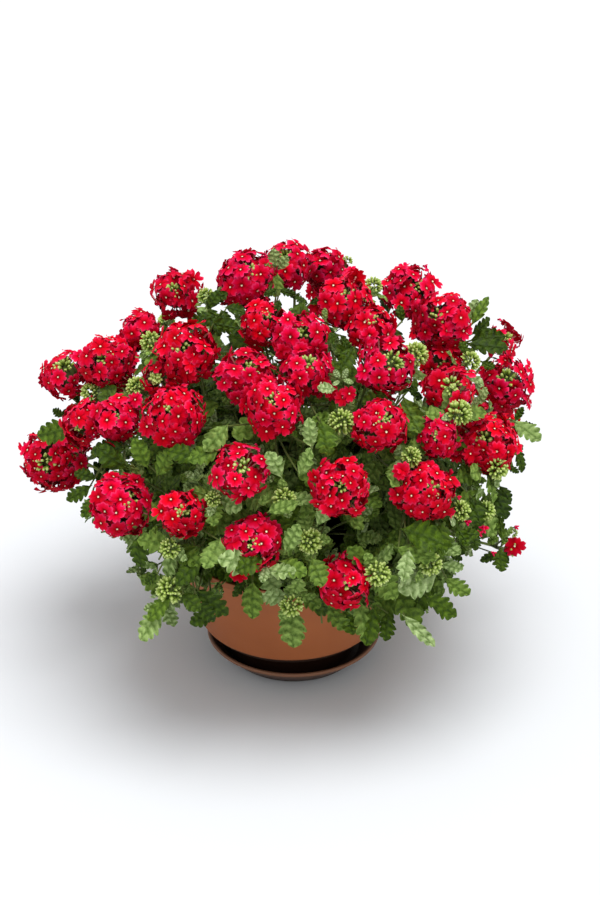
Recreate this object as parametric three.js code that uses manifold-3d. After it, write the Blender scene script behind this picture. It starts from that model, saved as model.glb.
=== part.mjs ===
// A garden verbena in full bloom: a mound of leafy shoots with round flower heads, planted in a
// terracotta-coloured plastic bowl that stands in its saucer. Millimetres, +Z up. The origin is the centre
// of the saucer's underside, and the front is -Y.
import * as THREE from 'three';
import { mergeVertices } from 'three/addons/utils/BufferGeometryUtils.js';
import Module from 'manifold-3d';

const wasm = await Module();
wasm.setup();

// ---------------------------------------------------------------- driving dimensions

const GAP = 0.3; // clearance between pieces that touch
const ROUND_SIDES = 24; // flats round the bowl and the saucer
const MERGE = 0.15; // slivers this thin are merged away where leaves and stems are joined
const SEEDS = { heads: 101, shoots: 501 };

const SAUCER = { foot: 64, rim: 87.5, height: 20, lip: 5.5, overhang: 1.5, wall: 3, step: 1, floor: 3 };
const BOWL = {
  foot: 62,
  waist: 15, // the foot's ring goes up to this height
  edge: 90, // the round edge between the underside and the flared wall
  edgeHeight: 36,
  edgeBevel: [3, 5],
  edgeRound: [2, 8],
  rim: 120,
  height: 142,
  rimBand: { out: 1.7, height: 7, bevel: 1, width: 4.5 },
  wall: 3.5,
  floor: 4,
};
// The hollow of the bowl above its floor.
const HOLLOW = [
  [60, 20],
  [84, 36.5],
  [88.5, 45],
  [114.8, 134],
];
const DRAIN = { radius: 4, ring: 40, count: 3, sides: 6 };
const SOIL = { belowRim: 14, dome: 5, stemDepth: 34, holeGap: 1.5 * GAP, wallGap: 2 * GAP };

// The mound that the flower heads lie on is an ellipsoid over the pot.
const MOUND = { centre: new THREE.Vector3(0, 0, 160), reach: new THREE.Vector3(236, 212, 250) };

// The front view looks down on the plant. Places in it are given as millimetres across from the pot's axis
// and up from the origin, as they show to an eye that is aimed at a point of that view.
const FRONT_VIEW = { elevation: 31, distance: 3500, aimAcross: 9.5, aimUp: 195 };

const STEM = { trunk: 2.4, branch: 1.7, twig: 1.1 }; // from the middle line to the corners of a section
const ROOT_SPREAD = 0.3; // how far out a shoot is planted, as a share of how far out its heads lie
const COLLAR = 8; // a trunk rises straight to this height over the soil
const FORK_SHARE = 0.45; // where a trunk forks, as a share of the way to its heads
const KNEE = 1.4; // how far below its head a branch turns and widens towards it, in radii of the head

// A leaf's shape, mostly as shares of its length or of its half width.
const LEAF = {
  widthShare: 0.52,
  thickness: 1.2,
  droop: 0.16,
  fold: 0.24,
  belly: 0.72, // under 1, the leaf is widest below its middle
  blunt: 0.8,
  stalk: 0.13, // the teeth start here
  toothed: 0.86, // and take up this much of the length
  notchLean: 0.03,
  toothWidth: 1.06,
  notchWidth: 0.7,
  wave: 0.06,
  ribs: [0.2, 0.66], // where the midrib has its full thickness
};
const PLAIN_LEAF = { stalk: 0.18, toothed: 0.78, notchWidth: 0.8, ribs: [0.25] }; // with 2 lobes a side
const SHOWN_LEAF = { lobes: 4, twigBack: 0.6, twigInto: 0.1 };
const UPPER_LEAF = { lobes: 2, shortest: 38, longest: 48, place: 0.93, sunk: 0.2, raise: [20, 45] };

// A leafy side stem leaves its trunk, bends and ends inside the mound, in two pairs of leaves.
const SIDE_STEM = {
  start: 0.4, // as a share of the way from the collar to the fork
  end: 0.78, // as a share of the mound's reach
  bend: 0.62, // as a share of the way from start to end
  overRim: 40, // a low one bends this far over the straight way, to hang over the rim of the bowl
  arch: 12, // and a high one this far
};
const SIDE_LEAF = {
  lobes: 2,
  shortest: 42,
  longest: 52,
  beyond: 0.2, // its root lies beyond the stem's middle line, by this share of the stem's reach
  before: 3,
  spread: [40, 70],
};

const FLORETS_ROUND = { small: 4, large: 5, largeFrom: 27 }; // florets in each of a head's two rings
const PETALS = { upper: 5, lower: 2 };
const PETAL = { edge: [0.42, 0.58], tip: [0.96, 1.02] };
const HEAD = { core: 0.8, eye: 0.85, flatness: 0.86, petalReach: 1.28, centreGap: 1.35 * GAP, crown: 0.2 };
const HEAD_POLAR = { top: 19, upper: 53, middle: 88, lower: 124, bottom: 158 };
const CROWN = { middle: 0.6, slant: 0.15 }; // the buds of a crown stand round a lower middle
const YOUNG_HEAD = { belt: 0.8, root: 1.4, crown: 0.9, twigBack: 35 };
const CROWDING = 0.97; // how near two heads may lie, as a share of the sum of their radii
const STEP_BACK = 2; // a head that is crowded out lies this much further back, or some such steps

// The shoots, with their flower heads, the ends of their leafy side stems, the young heads that are still
// green buds, and the large leaves that show in the front view. `at` is a place in the front view, [across,
// up]. What the front view doesn't show lies `from` the mound's centre at [degrees round from +X, degrees
// above the level], and so do the ends of side stems. `back` is how much further from the eye a piece lies.
// `lean` is how far a head's axis leans across and up in the front view, of an axis of length 1. A head
// marked `joined` has grown into the one before it. A leaf points `towards` so many degrees round from +X in
// the front view, with its tip this `tilt` in degrees nearer to the eye.
const SHOOTS = {
  left: {
    heads: [
      { at: [-224, 270], radius: 26, lean: [-0.14, 0.63] },
      { at: [-182.5, 282], radius: 28, lean: [-0.1, 0.2] },
      { at: [-174.5, 225.5], radius: 23, lean: [0, 0.1] },
      { at: [-206.5, 223], radius: 22, lean: [-0.3, -0.2], back: 18, joined: true },
    ],
    sides: [[158, -16], [170, -6]],
    buds: [{ at: [-201.5, 253], radius: 9 }],
    leaves: [
      { at: [-218, 218], towards: 195, length: 38, tilt: 10 },
      { at: [-226, 228], towards: 150, length: 30, tilt: 0 },
    ],
  },
  lowLeft: {
    heads: [
      { at: [-238.5, 185], radius: 32, lean: [-0.33, -0.13] },
      { at: [-168.5, 141], radius: 31.5, lean: [0.33, 0.2] },
      { at: [-107.5, 131], radius: 23, lean: [0, 0.15] },
    ],
    sides: [[208, -12], [242, 0]],
    buds: [
      { at: [-122, 54], radius: 11, back: 20 },
      { at: [-121.5, 96], radius: 8, back: 8 },
      { at: [-78, 146], radius: 7 },
    ],
    leaves: [
      { at: [-150, 112], towards: 262, length: 46, tilt: 10 },
      { at: [-118, 50], towards: 222, length: 46, tilt: 12 },
      { at: [-132, 72], towards: 215, length: 34, tilt: 10 },
      { at: [-110, 52], towards: 325, length: 26, tilt: 15 },
      { at: [-96, 44], towards: 318, length: 42, tilt: -5 },
    ],
  },
  upperLeft: {
    heads: [
      { at: [-114.5, 351], radius: 25, lean: [-0.2, 0.2] },
      { at: [-149.5, 314], radius: 20, lean: [0.1, 0.1] },
      { at: [-105.5, 293], radius: 31, lean: [-0.2, 0.2] },
      { at: [-132.5, 267], radius: 17, lean: [-0.2, 0], back: 10, joined: true },
      { at: [-117, 230], radius: 31, lean: [0, 0.2] },
    ],
    sides: [[157, 12]],
    buds: [
      { at: [-85, 350.5], radius: 7.5, back: 6 },
      { at: [-141.5, 305], radius: 9, back: -8 },
      { at: [-155.5, 259], radius: 9 },
    ],
    leaves: [
      { at: [-84, 334], towards: 60, length: 34, tilt: 25 },
      { at: [-80, 322], towards: 350, length: 30, tilt: 20 },
    ],
  },
  middle: {
    heads: [
      { at: [-16.5, 239], radius: 29, lean: [0.05, 0.33] },
      { at: [-44, 268], radius: 29, lean: [0.2, 0.4] },
      { at: [16.5, 273], radius: 25, lean: [0.07, 0.58], back: 4 },
      { at: [10.5, 305], radius: 27, lean: [0, 0.45], back: 15, joined: true },
    ],
    sides: [[262, 24]],
    buds: [
      { at: [51.5, 224], radius: 11, back: 6 },
    ],
    leaves: [
      { at: [30, 226], towards: 285, length: 36, tilt: 10 },
      { at: [-62, 222], towards: 235, length: 36, tilt: 15 },
    ],
  },
  upper: {
    heads: [
      { at: [-42.5, 366.5], radius: 29.5, lean: [0.08, 0.37] },
      { at: [-3.5, 379], radius: 26, lean: [-0.2, 0.6], back: 22 },
      { at: [33.5, 377], radius: 22, lean: [-0.6, 0.3], back: 6 },
      { at: [-25.5, 320], radius: 24, lean: [0, 0.55], back: 16 },
    ],
    sides: [[85, -16], [110, 12]],
    buds: [],
    leaves: [
      { at: [14, 345], towards: 250, length: 34, tilt: 20 },
    ],
  },
  front: {
    heads: [
      { at: [-49.5, 174], radius: 29, lean: [0.03, 0.37] },
      { at: [-37.5, 102], radius: 28, lean: [0, 0.05], back: 14 },
      { at: [-50.5, 74], radius: 16, lean: [-0.1, -0.2], back: 14, joined: true },
      { at: [50.5, 156], radius: 29.5, lean: [0, 0.2] },
      { at: [54.5, 63], radius: 27, lean: [0.05, 0], back: 26 },
    ],
    sides: [],
    buds: [
      { at: [-6.5, 145.5], radius: 10, back: 10 },
      { at: [19.5, 103], radius: 11, back: 16 },
      { at: [1, 38.4], radius: 9.5, back: 50 },
    ],
    leaves: [
      { at: [-46, 68], towards: 250, length: 36, tilt: 15, back: 30 },
      { at: [2, 40], towards: 266, length: 42, tilt: 5, back: 55 },
      { at: [36, 42], towards: 300, length: 34, tilt: 10, back: 45 },
      { at: [68, 46], towards: 285, length: 46, tilt: 8, back: 40 },
      { at: [-26, 88], towards: 200, length: 38, tilt: 40, back: 4 },
      { at: [-12, 84], towards: 340, length: 34, tilt: 35, back: 6 },
    ],
  },
  right: {
    heads: [
      { at: [151.5, 324], radius: 30, lean: [-0.27, 0.13] },
      { at: [152.5, 280], radius: 23, lean: [0, -0.3], back: 4, joined: true },
      { at: [216.5, 260], radius: 29, lean: [-0.1, 0.33] },
      { at: [212.5, 304], radius: 20, lean: [0.2, 0.3], back: 16 },
      { at: [159.5, 255], radius: 27, lean: [0, 0.25] },
    ],
    sides: [[0, 0], [12, 12], [25, -16], [338, 6]],
    buds: [{ at: [181.5, 285], radius: 9 }],
    leaves: [
      { at: [180, 318], towards: 60, length: 38, tilt: 5 },
      { at: [178, 304], towards: 10, length: 38, tilt: 20, back: -8 },
      { at: [226, 216], towards: 12, length: 34, tilt: 5 },
    ],
  },
  upperRight: {
    heads: [
      { at: [95.5, 279], radius: 29, lean: [0.34, 0.24], back: -6 },
      { at: [80.5, 317], radius: 24, lean: [0, 0.5] },
      { at: [55, 343], radius: 28, lean: [0.2, 0.3], back: 14, joined: true },
      { at: [119.5, 354], radius: 28.5, lean: [0.42, 0.25] },
    ],
    sides: [],
    buds: [
      { at: [83.5, 361], radius: 8 },
      { at: [57, 385], radius: 5, back: 12 },
      { at: [126.5, 292], radius: 11, back: 6 },
    ],
    leaves: [
      { at: [64, 300], towards: 245, length: 30, tilt: 15 },
    ],
  },
  lowRight: {
    heads: [
      { at: [89.5, 219], radius: 26.5, lean: [0.17, 0.36] },
      { at: [134.5, 153], radius: 30, lean: [0.33, 0.13] },
      { at: [146.5, 208], radius: 20, lean: [0, 0.1] },
      { at: [196.5, 202], radius: 31, lean: [-0.25, 0.2] },
      { at: [223.5, 98], radius: 13, lean: [0.1, 0.2], back: 10 },
    ],
    sides: [[304, 0]],
    buds: [
      { at: [170.5, 233], radius: 11, back: -26 },
      { at: [208.5, 165], radius: 10, back: -4 },
      { at: [121.5, 188], radius: 9 },
      { at: [171.5, 134], radius: 9 },
      { at: [196.5, 134], radius: 9 },
      { at: [88, 70.5], radius: 11, back: 24 },
      { at: [141.5, 80], radius: 9, back: 20 },
      { at: [226.5, 118], radius: 8 },
    ],
    leaves: [
      { at: [106, 56], towards: 300, length: 44, tilt: 15, back: 30 },
      { at: [140, 70], towards: 250, length: 42, tilt: 15, back: 26 },
      { at: [158, 92], towards: 335, length: 34, tilt: 10, back: 14 },
      { at: [104, 98], towards: 340, length: 40, tilt: 25, back: 10 },
      { at: [208, 92], towards: 205, length: 28, tilt: 20, back: 10 },
      { at: [184, 116], towards: 270, length: 36, tilt: 15, back: 6 },
    ],
  },
  backLeft: {
    heads: [
      { from: [160, 3], radius: 28 },
      { from: [140, 8], radius: 26.5 },
      { from: [143, 22], radius: 26.5 },
      { from: [119, 15], radius: 28 },
      { from: [106, 42], radius: 27 },
    ],
    sides: [[106, -16], [133, -16], [140, 42]],
    buds: [{ from: [128, 32], radius: 9 }, { from: [150, 27], radius: 9 }],
    leaves: [],
  },
  backRight: {
    heads: [
      { from: [85, 10], radius: 26.5 },
      { from: [76, 40], radius: 28 },
      { from: [47, 12], radius: 27 },
      { from: [46, 29], radius: 26 },
      { from: [29, 8], radius: 26 },
    ],
    sides: [[58, -16], [65, 12], [40, 42], [90, 42]],
    buds: [{ from: [66, 30], radius: 9 }, { from: [36, 30], radius: 9 }],
    leaves: [],
  },
};

const COLOURS = {
  plastic: { color: 0x9a5a3c, roughness: 0.55, metalness: 0 },
  soil: { color: 0x2b1d14, roughness: 1, metalness: 0 },
  green: { color: 0x56733a, roughness: 0.8, metalness: 0 },
  red: { color: 0xc4101c, roughness: 0.6, metalness: 0 },
};

// ---------------------------------------------------------------- helpers

const degrees = THREE.MathUtils.degToRad;
const HALF = 0.5;
const vector = (x, y, z) => new THREE.Vector3(x, y, z);
const UPWARD = vector(0, 0, 1);

// Draws evenly spread numbers from 0 to 1, the same ones for the same seed.
function seeded(seed) {
  let state = seed >>> 0;
  return () => {
    state = (state + 0x6d2b79f5) >>> 0;
    let t = Math.imul(state ^ (state >>> 15), 1 | state);
    t = (t + Math.imul(t ^ (t >>> 7), 61 | t)) ^ t;
    return ((t ^ (t >>> 14)) >>> 0) / 4294967296;
  };
}

// A number from `low` to `high`, for a draw from 0 to 1.
const between = ([low, high], drawn) => low + (high - low) * drawn;

// The part of `direction` that is at a right angle to `axis`, at length 1.
function across(direction, axis) {
  const part = direction.clone().addScaledVector(axis, -direction.dot(axis));
  return part.lengthSq() < 1e-8 ? across(vector(axis.y, axis.z, axis.x), axis) : part.normalize();
}

// `base` moved by pairs of a direction and a distance.
function moved(base, ...steps) {
  const point = base.clone();
  for (let k = 0; k < steps.length; k += 2) point.addScaledVector(steps[k], steps[k + 1]);
  return point;
}

const mean = (points) =>
  points.reduce((sum, point) => sum.add(point), vector(0, 0, 0)).divideScalar(points.length);

// A closed skin of flat faces. The corners of a face run anticlockwise as seen from outside.
class Skin {
  constructor() {
    this.corners = [];
    this.triangles = [];
  }

  add(point) {
    this.corners.push(point.x, point.y, point.z);
    return this.corners.length / 3 - 1;
  }

  ring(points) {
    return points.map((point) => this.add(point));
  }

  pointsOf(ring) {
    return ring.map((corner) => vector(...this.corners.slice(3 * corner, 3 * corner + 3)));
  }

  face(...loop) {
    for (let k = 2; k < loop.length; k++) this.triangles.push(loop[0], loop[k - 1], loop[k]);
  }

  // The faces between two rings that run anticlockwise as seen from above.
  wall(lower, upper) {
    lower.forEach((corner, k) => {
      const next = (k + 1) % lower.length;
      this.face(corner, lower[next], upper[next], upper[k]);
    });
  }

  solid() {
    return new wasm.Manifold(new wasm.Mesh({
      numProp: 3,
      vertProperties: new Float32Array(this.corners),
      triVerts: new Uint32Array(this.triangles),
    }));
  }
}

// A body of revolution about +Z. Its closed profile of [radius, height] runs anticlockwise, with the axis
// on the left.
function turned(profile) {
  const outline = profile.map(([radius, height]) => new THREE.Vector2(radius, height));
  const lathe = new THREE.LatheGeometry(outline, ROUND_SIDES).rotateX(Math.PI / 2);
  lathe.deleteAttribute('normal');
  lathe.deleteAttribute('uv');
  const merged = mergeVertices(lathe, 1e-3);
  return new wasm.Manifold(new wasm.Mesh({
    numProp: 3,
    vertProperties: merged.attributes.position.array,
    triVerts: new Uint32Array(merged.index.array),
  }));
}

const SQUARE = 4;
const TRIANGLE = 3;
const FIRST_SIDE = vector(1, 0.2, 0);

// The corners of a stem's sections at the points of its `path`, `reach` from its middle line. `side` is the
// way to the first corner of the last section.
function stemSections(path, reach, sides, side) {
  let towards = side;
  const sections = [];
  for (let k = path.length - 1; k >= 0; k--) {
    const before = path[k].clone().sub(path[Math.max(k - 1, 0)]).normalize();
    const after = path[Math.min(k + 1, path.length - 1)].clone().sub(path[k]).normalize();
    const along = before.add(after).normalize();
    towards = across(towards, along);
    const other = along.clone().cross(towards);
    sections.unshift(Array.from({ length: sides }, (_, n) => {
      const angle = (2 * Math.PI * n) / sides;
      return moved(path[k], towards, reach * Math.cos(angle), other, reach * Math.sin(angle));
    }));
  }
  return sections;
}

// A plain stem, square where `sides` isn't given.
function stem(path, reach, sides = SQUARE, side = FIRST_SIDE) {
  const skin = new Skin();
  const rings = stemSections(path, reach, sides, side).map((section) => skin.ring(section));
  for (let k = 1; k < rings.length; k++) skin.wall(rings[k - 1], rings[k]);
  skin.face(...rings[0].slice().reverse());
  skin.face(...rings.at(-1));
  return skin.solid();
}

const joinedAll = (solids) => wasm.Manifold.union(solids);

// ---------------------------------------------------------------- places on the mound

const LEVEL = degrees(FRONT_VIEW.elevation);
const RIGHT = vector(1, 0, 0);
const UP = vector(0, Math.sin(LEVEL), Math.cos(LEVEL));
const NEAR = vector(0, -Math.cos(LEVEL), Math.sin(LEVEL));
const inView = (...steps) => moved(vector(0, 0, 0), ...steps);
const EYE = inView(RIGHT, FRONT_VIEW.aimAcross, UP, FRONT_VIEW.aimUp, NEAR, FRONT_VIEW.distance);

// The eye's line of sight through a point of the front view.
function sightThrough([acrossView, upView]) {
  return inView(RIGHT, acrossView, UP, upView).sub(EYE).normalize();
}

// The place where a line of sight meets the mound or passes closest to it, and `back` further along it.
function inFrontView(spot, back) {
  const sight = sightThrough(spot);
  const start = EYE.clone().sub(MOUND.centre).divide(MOUND.reach);
  const step = sight.clone().divide(MOUND.reach);
  const a = step.dot(step);
  const b = start.dot(step);
  const c = start.dot(start) - 1;
  const distance = (-b - Math.sqrt(Math.max(b * b - a * c, 0))) / a;
  return moved(EYE, sight, distance + back);
}

// The direction away from the mound's centre at an angle round from +X and an angle above the level.
function outward([round, above]) {
  const level = Math.cos(degrees(above));
  const turn = degrees(round);
  return vector(level * Math.cos(turn), level * Math.sin(turn), Math.sin(degrees(above)));
}

// A place on the mound, by its spot in the front view or by its direction from the mound's centre.
function onMound(spot, back) {
  if (spot.at) return inFrontView(spot.at, back);
  const out = outward(spot.from);
  return out.clone().multiply(MOUND.reach).add(MOUND.centre).addScaledVector(out, -back);
}

// The way the mound faces at a point.
function faceOfMound(point) {
  return point.clone().sub(MOUND.centre).divide(MOUND.reach).divide(MOUND.reach).normalize();
}

function axisOfHead(spot) {
  if (!spot.lean) return outward(spot.from);
  const [sideways, upwards] = spot.lean;
  return inView(RIGHT, sideways, UP, upwards, NEAR, Math.sqrt(1 - sideways ** 2 - upwards ** 2));
}

// The place of a head that has grown into another, at the same distance from the eye but for `back`.
function besideHead(other, spot) {
  const sight = sightThrough(spot.at);
  const depth = EYE.clone().sub(other.centre).dot(NEAR) + spot.back;
  return moved(EYE, sight, -depth / sight.dot(NEAR));
}

// Places every head in turn. One that is crowded by an earlier head lies further back.
function placeHeads() {
  const placed = [];
  for (const [shoot, { heads }] of Object.entries(SHOOTS)) {
    for (const spot of heads) {
      let back = spot.back ?? 0;
      const crowds = (head) =>
        head.centre.distanceTo(onMound(spot, back)) < CROWDING * (head.radius + spot.radius);
      while (!spot.joined && placed.some(crowds)) back += STEP_BACK;
      const centre = spot.joined ? besideHead(placed.at(-1), spot) : onMound(spot, back);
      placed.push({ ...spot, shoot, centre, axis: axisOfHead(spot) });
    }
  }
  return placed;
}

// ---------------------------------------------------------------- flower heads

// The points of one ring of a head: `count` places round its axis at an angle from its top.
function headRing(head, { count, polar, phase, shell }) {
  const side = across(UPWARD, head.axis);
  const other = head.axis.clone().cross(side);
  const wide = head.radius * shell * Math.sin(degrees(polar));
  const high = head.radius * shell * HEAD.flatness * Math.cos(degrees(polar));
  return Array.from({ length: count }, (_, n) => {
    const angle = head.spin + (2 * Math.PI * (n + phase)) / count;
    return moved(head.centre, head.axis, high, side, wide * Math.cos(angle), other, wide * Math.sin(angle));
  });
}

const floretsRound = ({ radius }) =>
  radius < FLORETS_ROUND.largeFrom ? FLORETS_ROUND.small : FLORETS_ROUND.large;
const coreRing = (head, polar, phase, times = 1) =>
  headRing(head, { count: times * floretsRound(head), polar, phase, shell: HEAD.core });
const topRing = (head) => coreRing(head, HEAD_POLAR.top, 0);
const bottomRing = (head) => coreRing(head, HEAD_POLAR.bottom, HALF);

// One floret: petals round a sunken eye, raised from the first sides of a five-cornered patch of the head.
function floret(skin, head, patch, petals, draw) {
  const corners = skin.pointsOf(patch);
  const middle = mean(corners);
  const out = middle.clone().sub(head.centre);
  const lift = (point, shell) => {
    const ray = point.clone().sub(head.centre);
    const height = ray.dot(head.axis);
    const onBall = ray.addScaledVector(head.axis, height / HEAD.flatness - height).normalize();
    const ballHeight = onBall.dot(head.axis);
    onBall.addScaledVector(head.axis, ballHeight * HEAD.flatness - ballHeight);
    return moved(head.centre, onBall, head.radius * shell);
  };
  const eye = skin.add(lift(moved(head.centre, out, 1), HEAD.eye));
  corners.forEach((corner, k) => {
    const next = (k + 1) % corners.length;
    if (k >= petals) {
      skin.face(eye, patch[k], patch[next]);
      return;
    }
    const edge = corner.clone().lerp(corners[next], between(PETAL.edge, draw()));
    const tip = skin.add(lift(middle.clone().lerp(edge, HEAD.petalReach), between(PETAL.tip, draw())));
    skin.face(eye, patch[k], tip);
    skin.face(eye, tip, patch[next]);
    skin.face(patch[k], patch[next], tip);
  });
}

// A flower head: two rings of florets on a core, with a hole from top to bottom for the stem's green centre.
// The lower florets have no petals towards the stem. A head that has grown into another is carried by it and
// has no hole.
function headSolid(head, draw) {
  const n = floretsRound(head);
  const skin = new Skin();
  const top = skin.ring(topRing(head));
  const upper = skin.ring(coreRing(head, HEAD_POLAR.upper, HALF));
  const middle = skin.ring(coreRing(head, HEAD_POLAR.middle, -HALF, 2));
  const lower = skin.ring(coreRing(head, HEAD_POLAR.lower, 0));
  const bottom = skin.ring(bottomRing(head));
  for (let k = 0; k < n; k++) {
    const next = (k + 1) % n;
    const last = (k + n - 1) % n;
    const [left, right, beyond] = [middle[2 * k], middle[2 * k + 1], middle[2 * next]];
    floret(skin, head, [top[k], upper[last], left, right, upper[k]], PETALS.upper, draw);
    floret(skin, head, [lower[next], beyond, right, lower[k], bottom[k]], PETALS.lower, draw);
    skin.face(top[next], top[k], upper[k]);
    skin.face(upper[k], right, beyond);
    skin.face(right, left, lower[k]);
    skin.face(lower[k], bottom[last], bottom[k]);
    if (head.joined) continue;
    skin.face(top[k], bottom[k], bottom[last]);
    skin.face(top[k], top[next], bottom[k]);
  }
  if (head.joined) {
    skin.face(...top);
    skin.face(...bottom.reverse());
  }
  return skin.solid();
}

// ---------------------------------------------------------------- leafy shoots

// A crown of pointed buds that closes a ring of corners from above.
function budCrown(skin, ring, axis, height) {
  const points = skin.pointsOf(ring);
  const middle = mean(points);
  const centre = skin.add(moved(middle, axis, CROWN.middle * height));
  ring.forEach((corner, k) => {
    const next = (k + 1) % ring.length;
    const rim = mean([points[k], points[next]]);
    const tip = skin.add(moved(rim.lerp(middle, CROWN.slant), axis, height));
    skin.face(corner, ring[next], tip);
    skin.face(ring[next], centre, tip);
    skin.face(centre, corner, tip);
  });
}

// A branch up to its head, and the green centre that fills the hole through the head and ends in unopened
// buds.
function branchSolid(path, head) {
  const skin = new Skin();
  const slim = (ring) => ring.map((point) => {
    const ray = point.clone().sub(head.centre);
    const inward = across(ray, head.axis);
    return moved(point, inward, -HEAD.centreGap);
  });
  const bottomPoints = slim(bottomRing(head));
  const firstCorner = bottomPoints[0].clone().sub(head.centre);
  const sides = floretsRound(head);
  const sections = stemSections(path, STEM.branch, sides, firstCorner).map((section) => skin.ring(section));
  const bottom = skin.ring(bottomPoints);
  const top = skin.ring(slim(topRing(head)));
  skin.face(...sections[0].slice().reverse());
  for (let k = 1; k < sections.length; k++) skin.wall(sections[k - 1], sections[k]);
  skin.wall(sections.at(-1), bottom);
  bottom.forEach((corner, k) => {
    const next = (k + 1) % bottom.length;
    skin.face(corner, bottom[next], top[next]);
    skin.face(corner, top[next], top[k]);
  });
  budCrown(skin, top, head.axis, HEAD.crown * head.radius);
  return skin.solid();
}

// A young head, still a cluster of green buds.
function budCluster(centre, axis, radius) {
  const skin = new Skin();
  const side = across(UPWARD, axis);
  const other = axis.clone().cross(side);
  const sides = FLORETS_ROUND.large;
  const wide = YOUNG_HEAD.belt * radius;
  const ring = skin.ring(Array.from({ length: sides }, (_, n) => {
    const angle = (2 * Math.PI * n) / sides;
    return moved(centre, side, wide * Math.cos(angle), other, wide * Math.sin(angle));
  }));
  const root = skin.add(moved(centre, axis, -YOUNG_HEAD.root * radius));
  ring.forEach((corner, k) => skin.face(root, ring[(k + 1) % sides], corner));
  budCrown(skin, ring, axis, YOUNG_HEAD.crown * radius);
  return skin.solid();
}

// A leaf with rounded teeth: two skins that share one outline and bulge along the midrib. Its root is a
// point.
function leafSolid({ root, along, face, length, lobes, draw }) {
  const skin = new Skin();
  const side = face.clone().cross(along).normalize();
  const place = (share, width, rise) => {
    const height = LEAF.fold * Math.abs(width) - LEAF.droop * length * share * share + rise;
    return moved(root, along, share * length, side, width, face, height);
  };
  const halfWidth = (share) =>
    HALF * LEAF.widthShare * length * Math.sin(Math.PI * share ** LEAF.belly) ** LEAF.blunt;
  const { stalk, toothed, notchWidth, ribs } = lobes > 2 ? LEAF : PLAIN_LEAF;
  const turns = 2 * lobes - 1; // the teeth and the notches between them
  const edge = (sign) => skin.ring(Array.from({ length: turns }, (_, k) => {
    const notch = k % 2 === 1;
    const share = stalk + (toothed * (k + HALF)) / turns - (notch ? LEAF.notchLean : 0);
    const wave = (draw() - HALF) * LEAF.wave * length;
    const width = halfWidth(share) * (notch ? notchWidth : LEAF.toothWidth);
    return place(share, sign * width, wave);
  }));
  const rootCorner = skin.add(root);
  const right = edge(-1);
  const left = edge(1);
  const tip = skin.add(place(1, 0, 0));
  for (const sign of [1, -1]) {
    const [near, far = near] = ribs.map((share) => skin.add(place(share, 0, sign * HALF * LEAF.thickness)));
    const put = (...loop) => skin.face(...(sign > 0 ? loop : loop.reverse()));
    put(rootCorner, right[0], near);
    put(left[0], rootCorner, near);
    const change = lobes - 1; // up to this corner the edge meets the near end of the midrib
    for (let k = 1; k < turns; k++) {
      const rib = k <= change ? near : far;
      put(right[k - 1], right[k], rib);
      put(left[k], left[k - 1], rib);
    }
    if (far !== near) {
      put(right[change], far, near);
      put(far, left[change], near);
    }
    put(right.at(-1), tip, far);
    put(tip, left.at(-1), far);
  }
  return skin.solid();
}

const SOIL_TOP = BOWL.height - SOIL.belowRim;

// The middle lines of a shoot's stems.
function stemLines(heads) {
  const spread = mean(heads.map((head) => head.centre)).multiplyScalar(ROOT_SPREAD);
  const root = vector(spread.x, spread.y, SOIL_TOP - SOIL.stemDepth);
  const collar = vector(spread.x, spread.y, SOIL_TOP + COLLAR);
  const carried = heads.filter((head) => !head.joined);
  const knees = carried.map((head) => moved(head.centre, head.axis, -KNEE * head.radius));
  const fork = collar.clone().lerp(mean(knees), FORK_SHARE);
  const end = moved(fork, fork.clone().sub(collar).normalize(), STEM.branch);
  const branches = knees.map((knee) => [fork, knee]);
  return { trunk: [root, collar, end], branches };
}

// The point on a shoot's branches that is nearest to `target`.
function nearestOnBranches(branches, target) {
  let best = null;
  for (const path of branches) {
    for (let k = 1; k < path.length; k++) {
      const line = new THREE.Line3(path[k - 1], path[k]);
      const point = line.closestPointToPoint(target, true, vector(0, 0, 0));
      if (!best || point.distanceTo(target) < best.distanceTo(target)) best = point;
    }
  }
  return best;
}

// The leaf that shows at a spot of the front view, with the twig that bears it.
function shownLeaf(spot, branches, draw) {
  const base = onMound(spot, spot.back ?? 0);
  const { length } = spot;
  const towards = degrees(spot.towards);
  const flat = inView(RIGHT, Math.cos(towards), UP, Math.sin(towards));
  const tilt = degrees(spot.tilt);
  const along = inView(flat, Math.cos(tilt), NEAR, Math.sin(tilt));
  const face = across(NEAR, along);
  const leaf = leafSolid({ root: base, along, face, length, lobes: SHOWN_LEAF.lobes, draw });
  const from = nearestOnBranches(branches, moved(base, along, -SHOWN_LEAF.twigBack * length));
  const into = moved(base, along, SHOWN_LEAF.twigInto * length);
  return leaf.add(stem([from, into], STEM.twig, TRIANGLE));
}

// The pair of leaves on two almost opposite flats of a branch.
function upperPair([fork, knee], head, draw) {
  const along = knee.clone().sub(fork).normalize();
  const firstCorner = bottomRing(head)[0].sub(head.centre);
  const sides = floretsRound(head);
  const [section] = stemSections([fork, knee], STEM.branch, sides, firstCorner);
  const flats = section.map((corner, n) => mean([corner, section[(n + 1) % sides]]).sub(fork).normalize());
  const first = Math.floor(draw() * sides);
  return [0, 2].map((further) => {
    const outwards = flats[(first + further) % sides];
    const raise = degrees(between(UPPER_LEAF.raise, draw()));
    const direction = inView(outwards, Math.cos(raise), along, Math.sin(raise));
    const root = moved(fork.clone().lerp(knee, UPPER_LEAF.place), outwards, UPPER_LEAF.sunk * STEM.branch);
    const length = between([UPPER_LEAF.shortest, UPPER_LEAF.longest], draw());
    const face = across(along, direction);
    return leafSolid({ root, along: direction, face, length, lobes: UPPER_LEAF.lobes, draw });
  });
}

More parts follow.
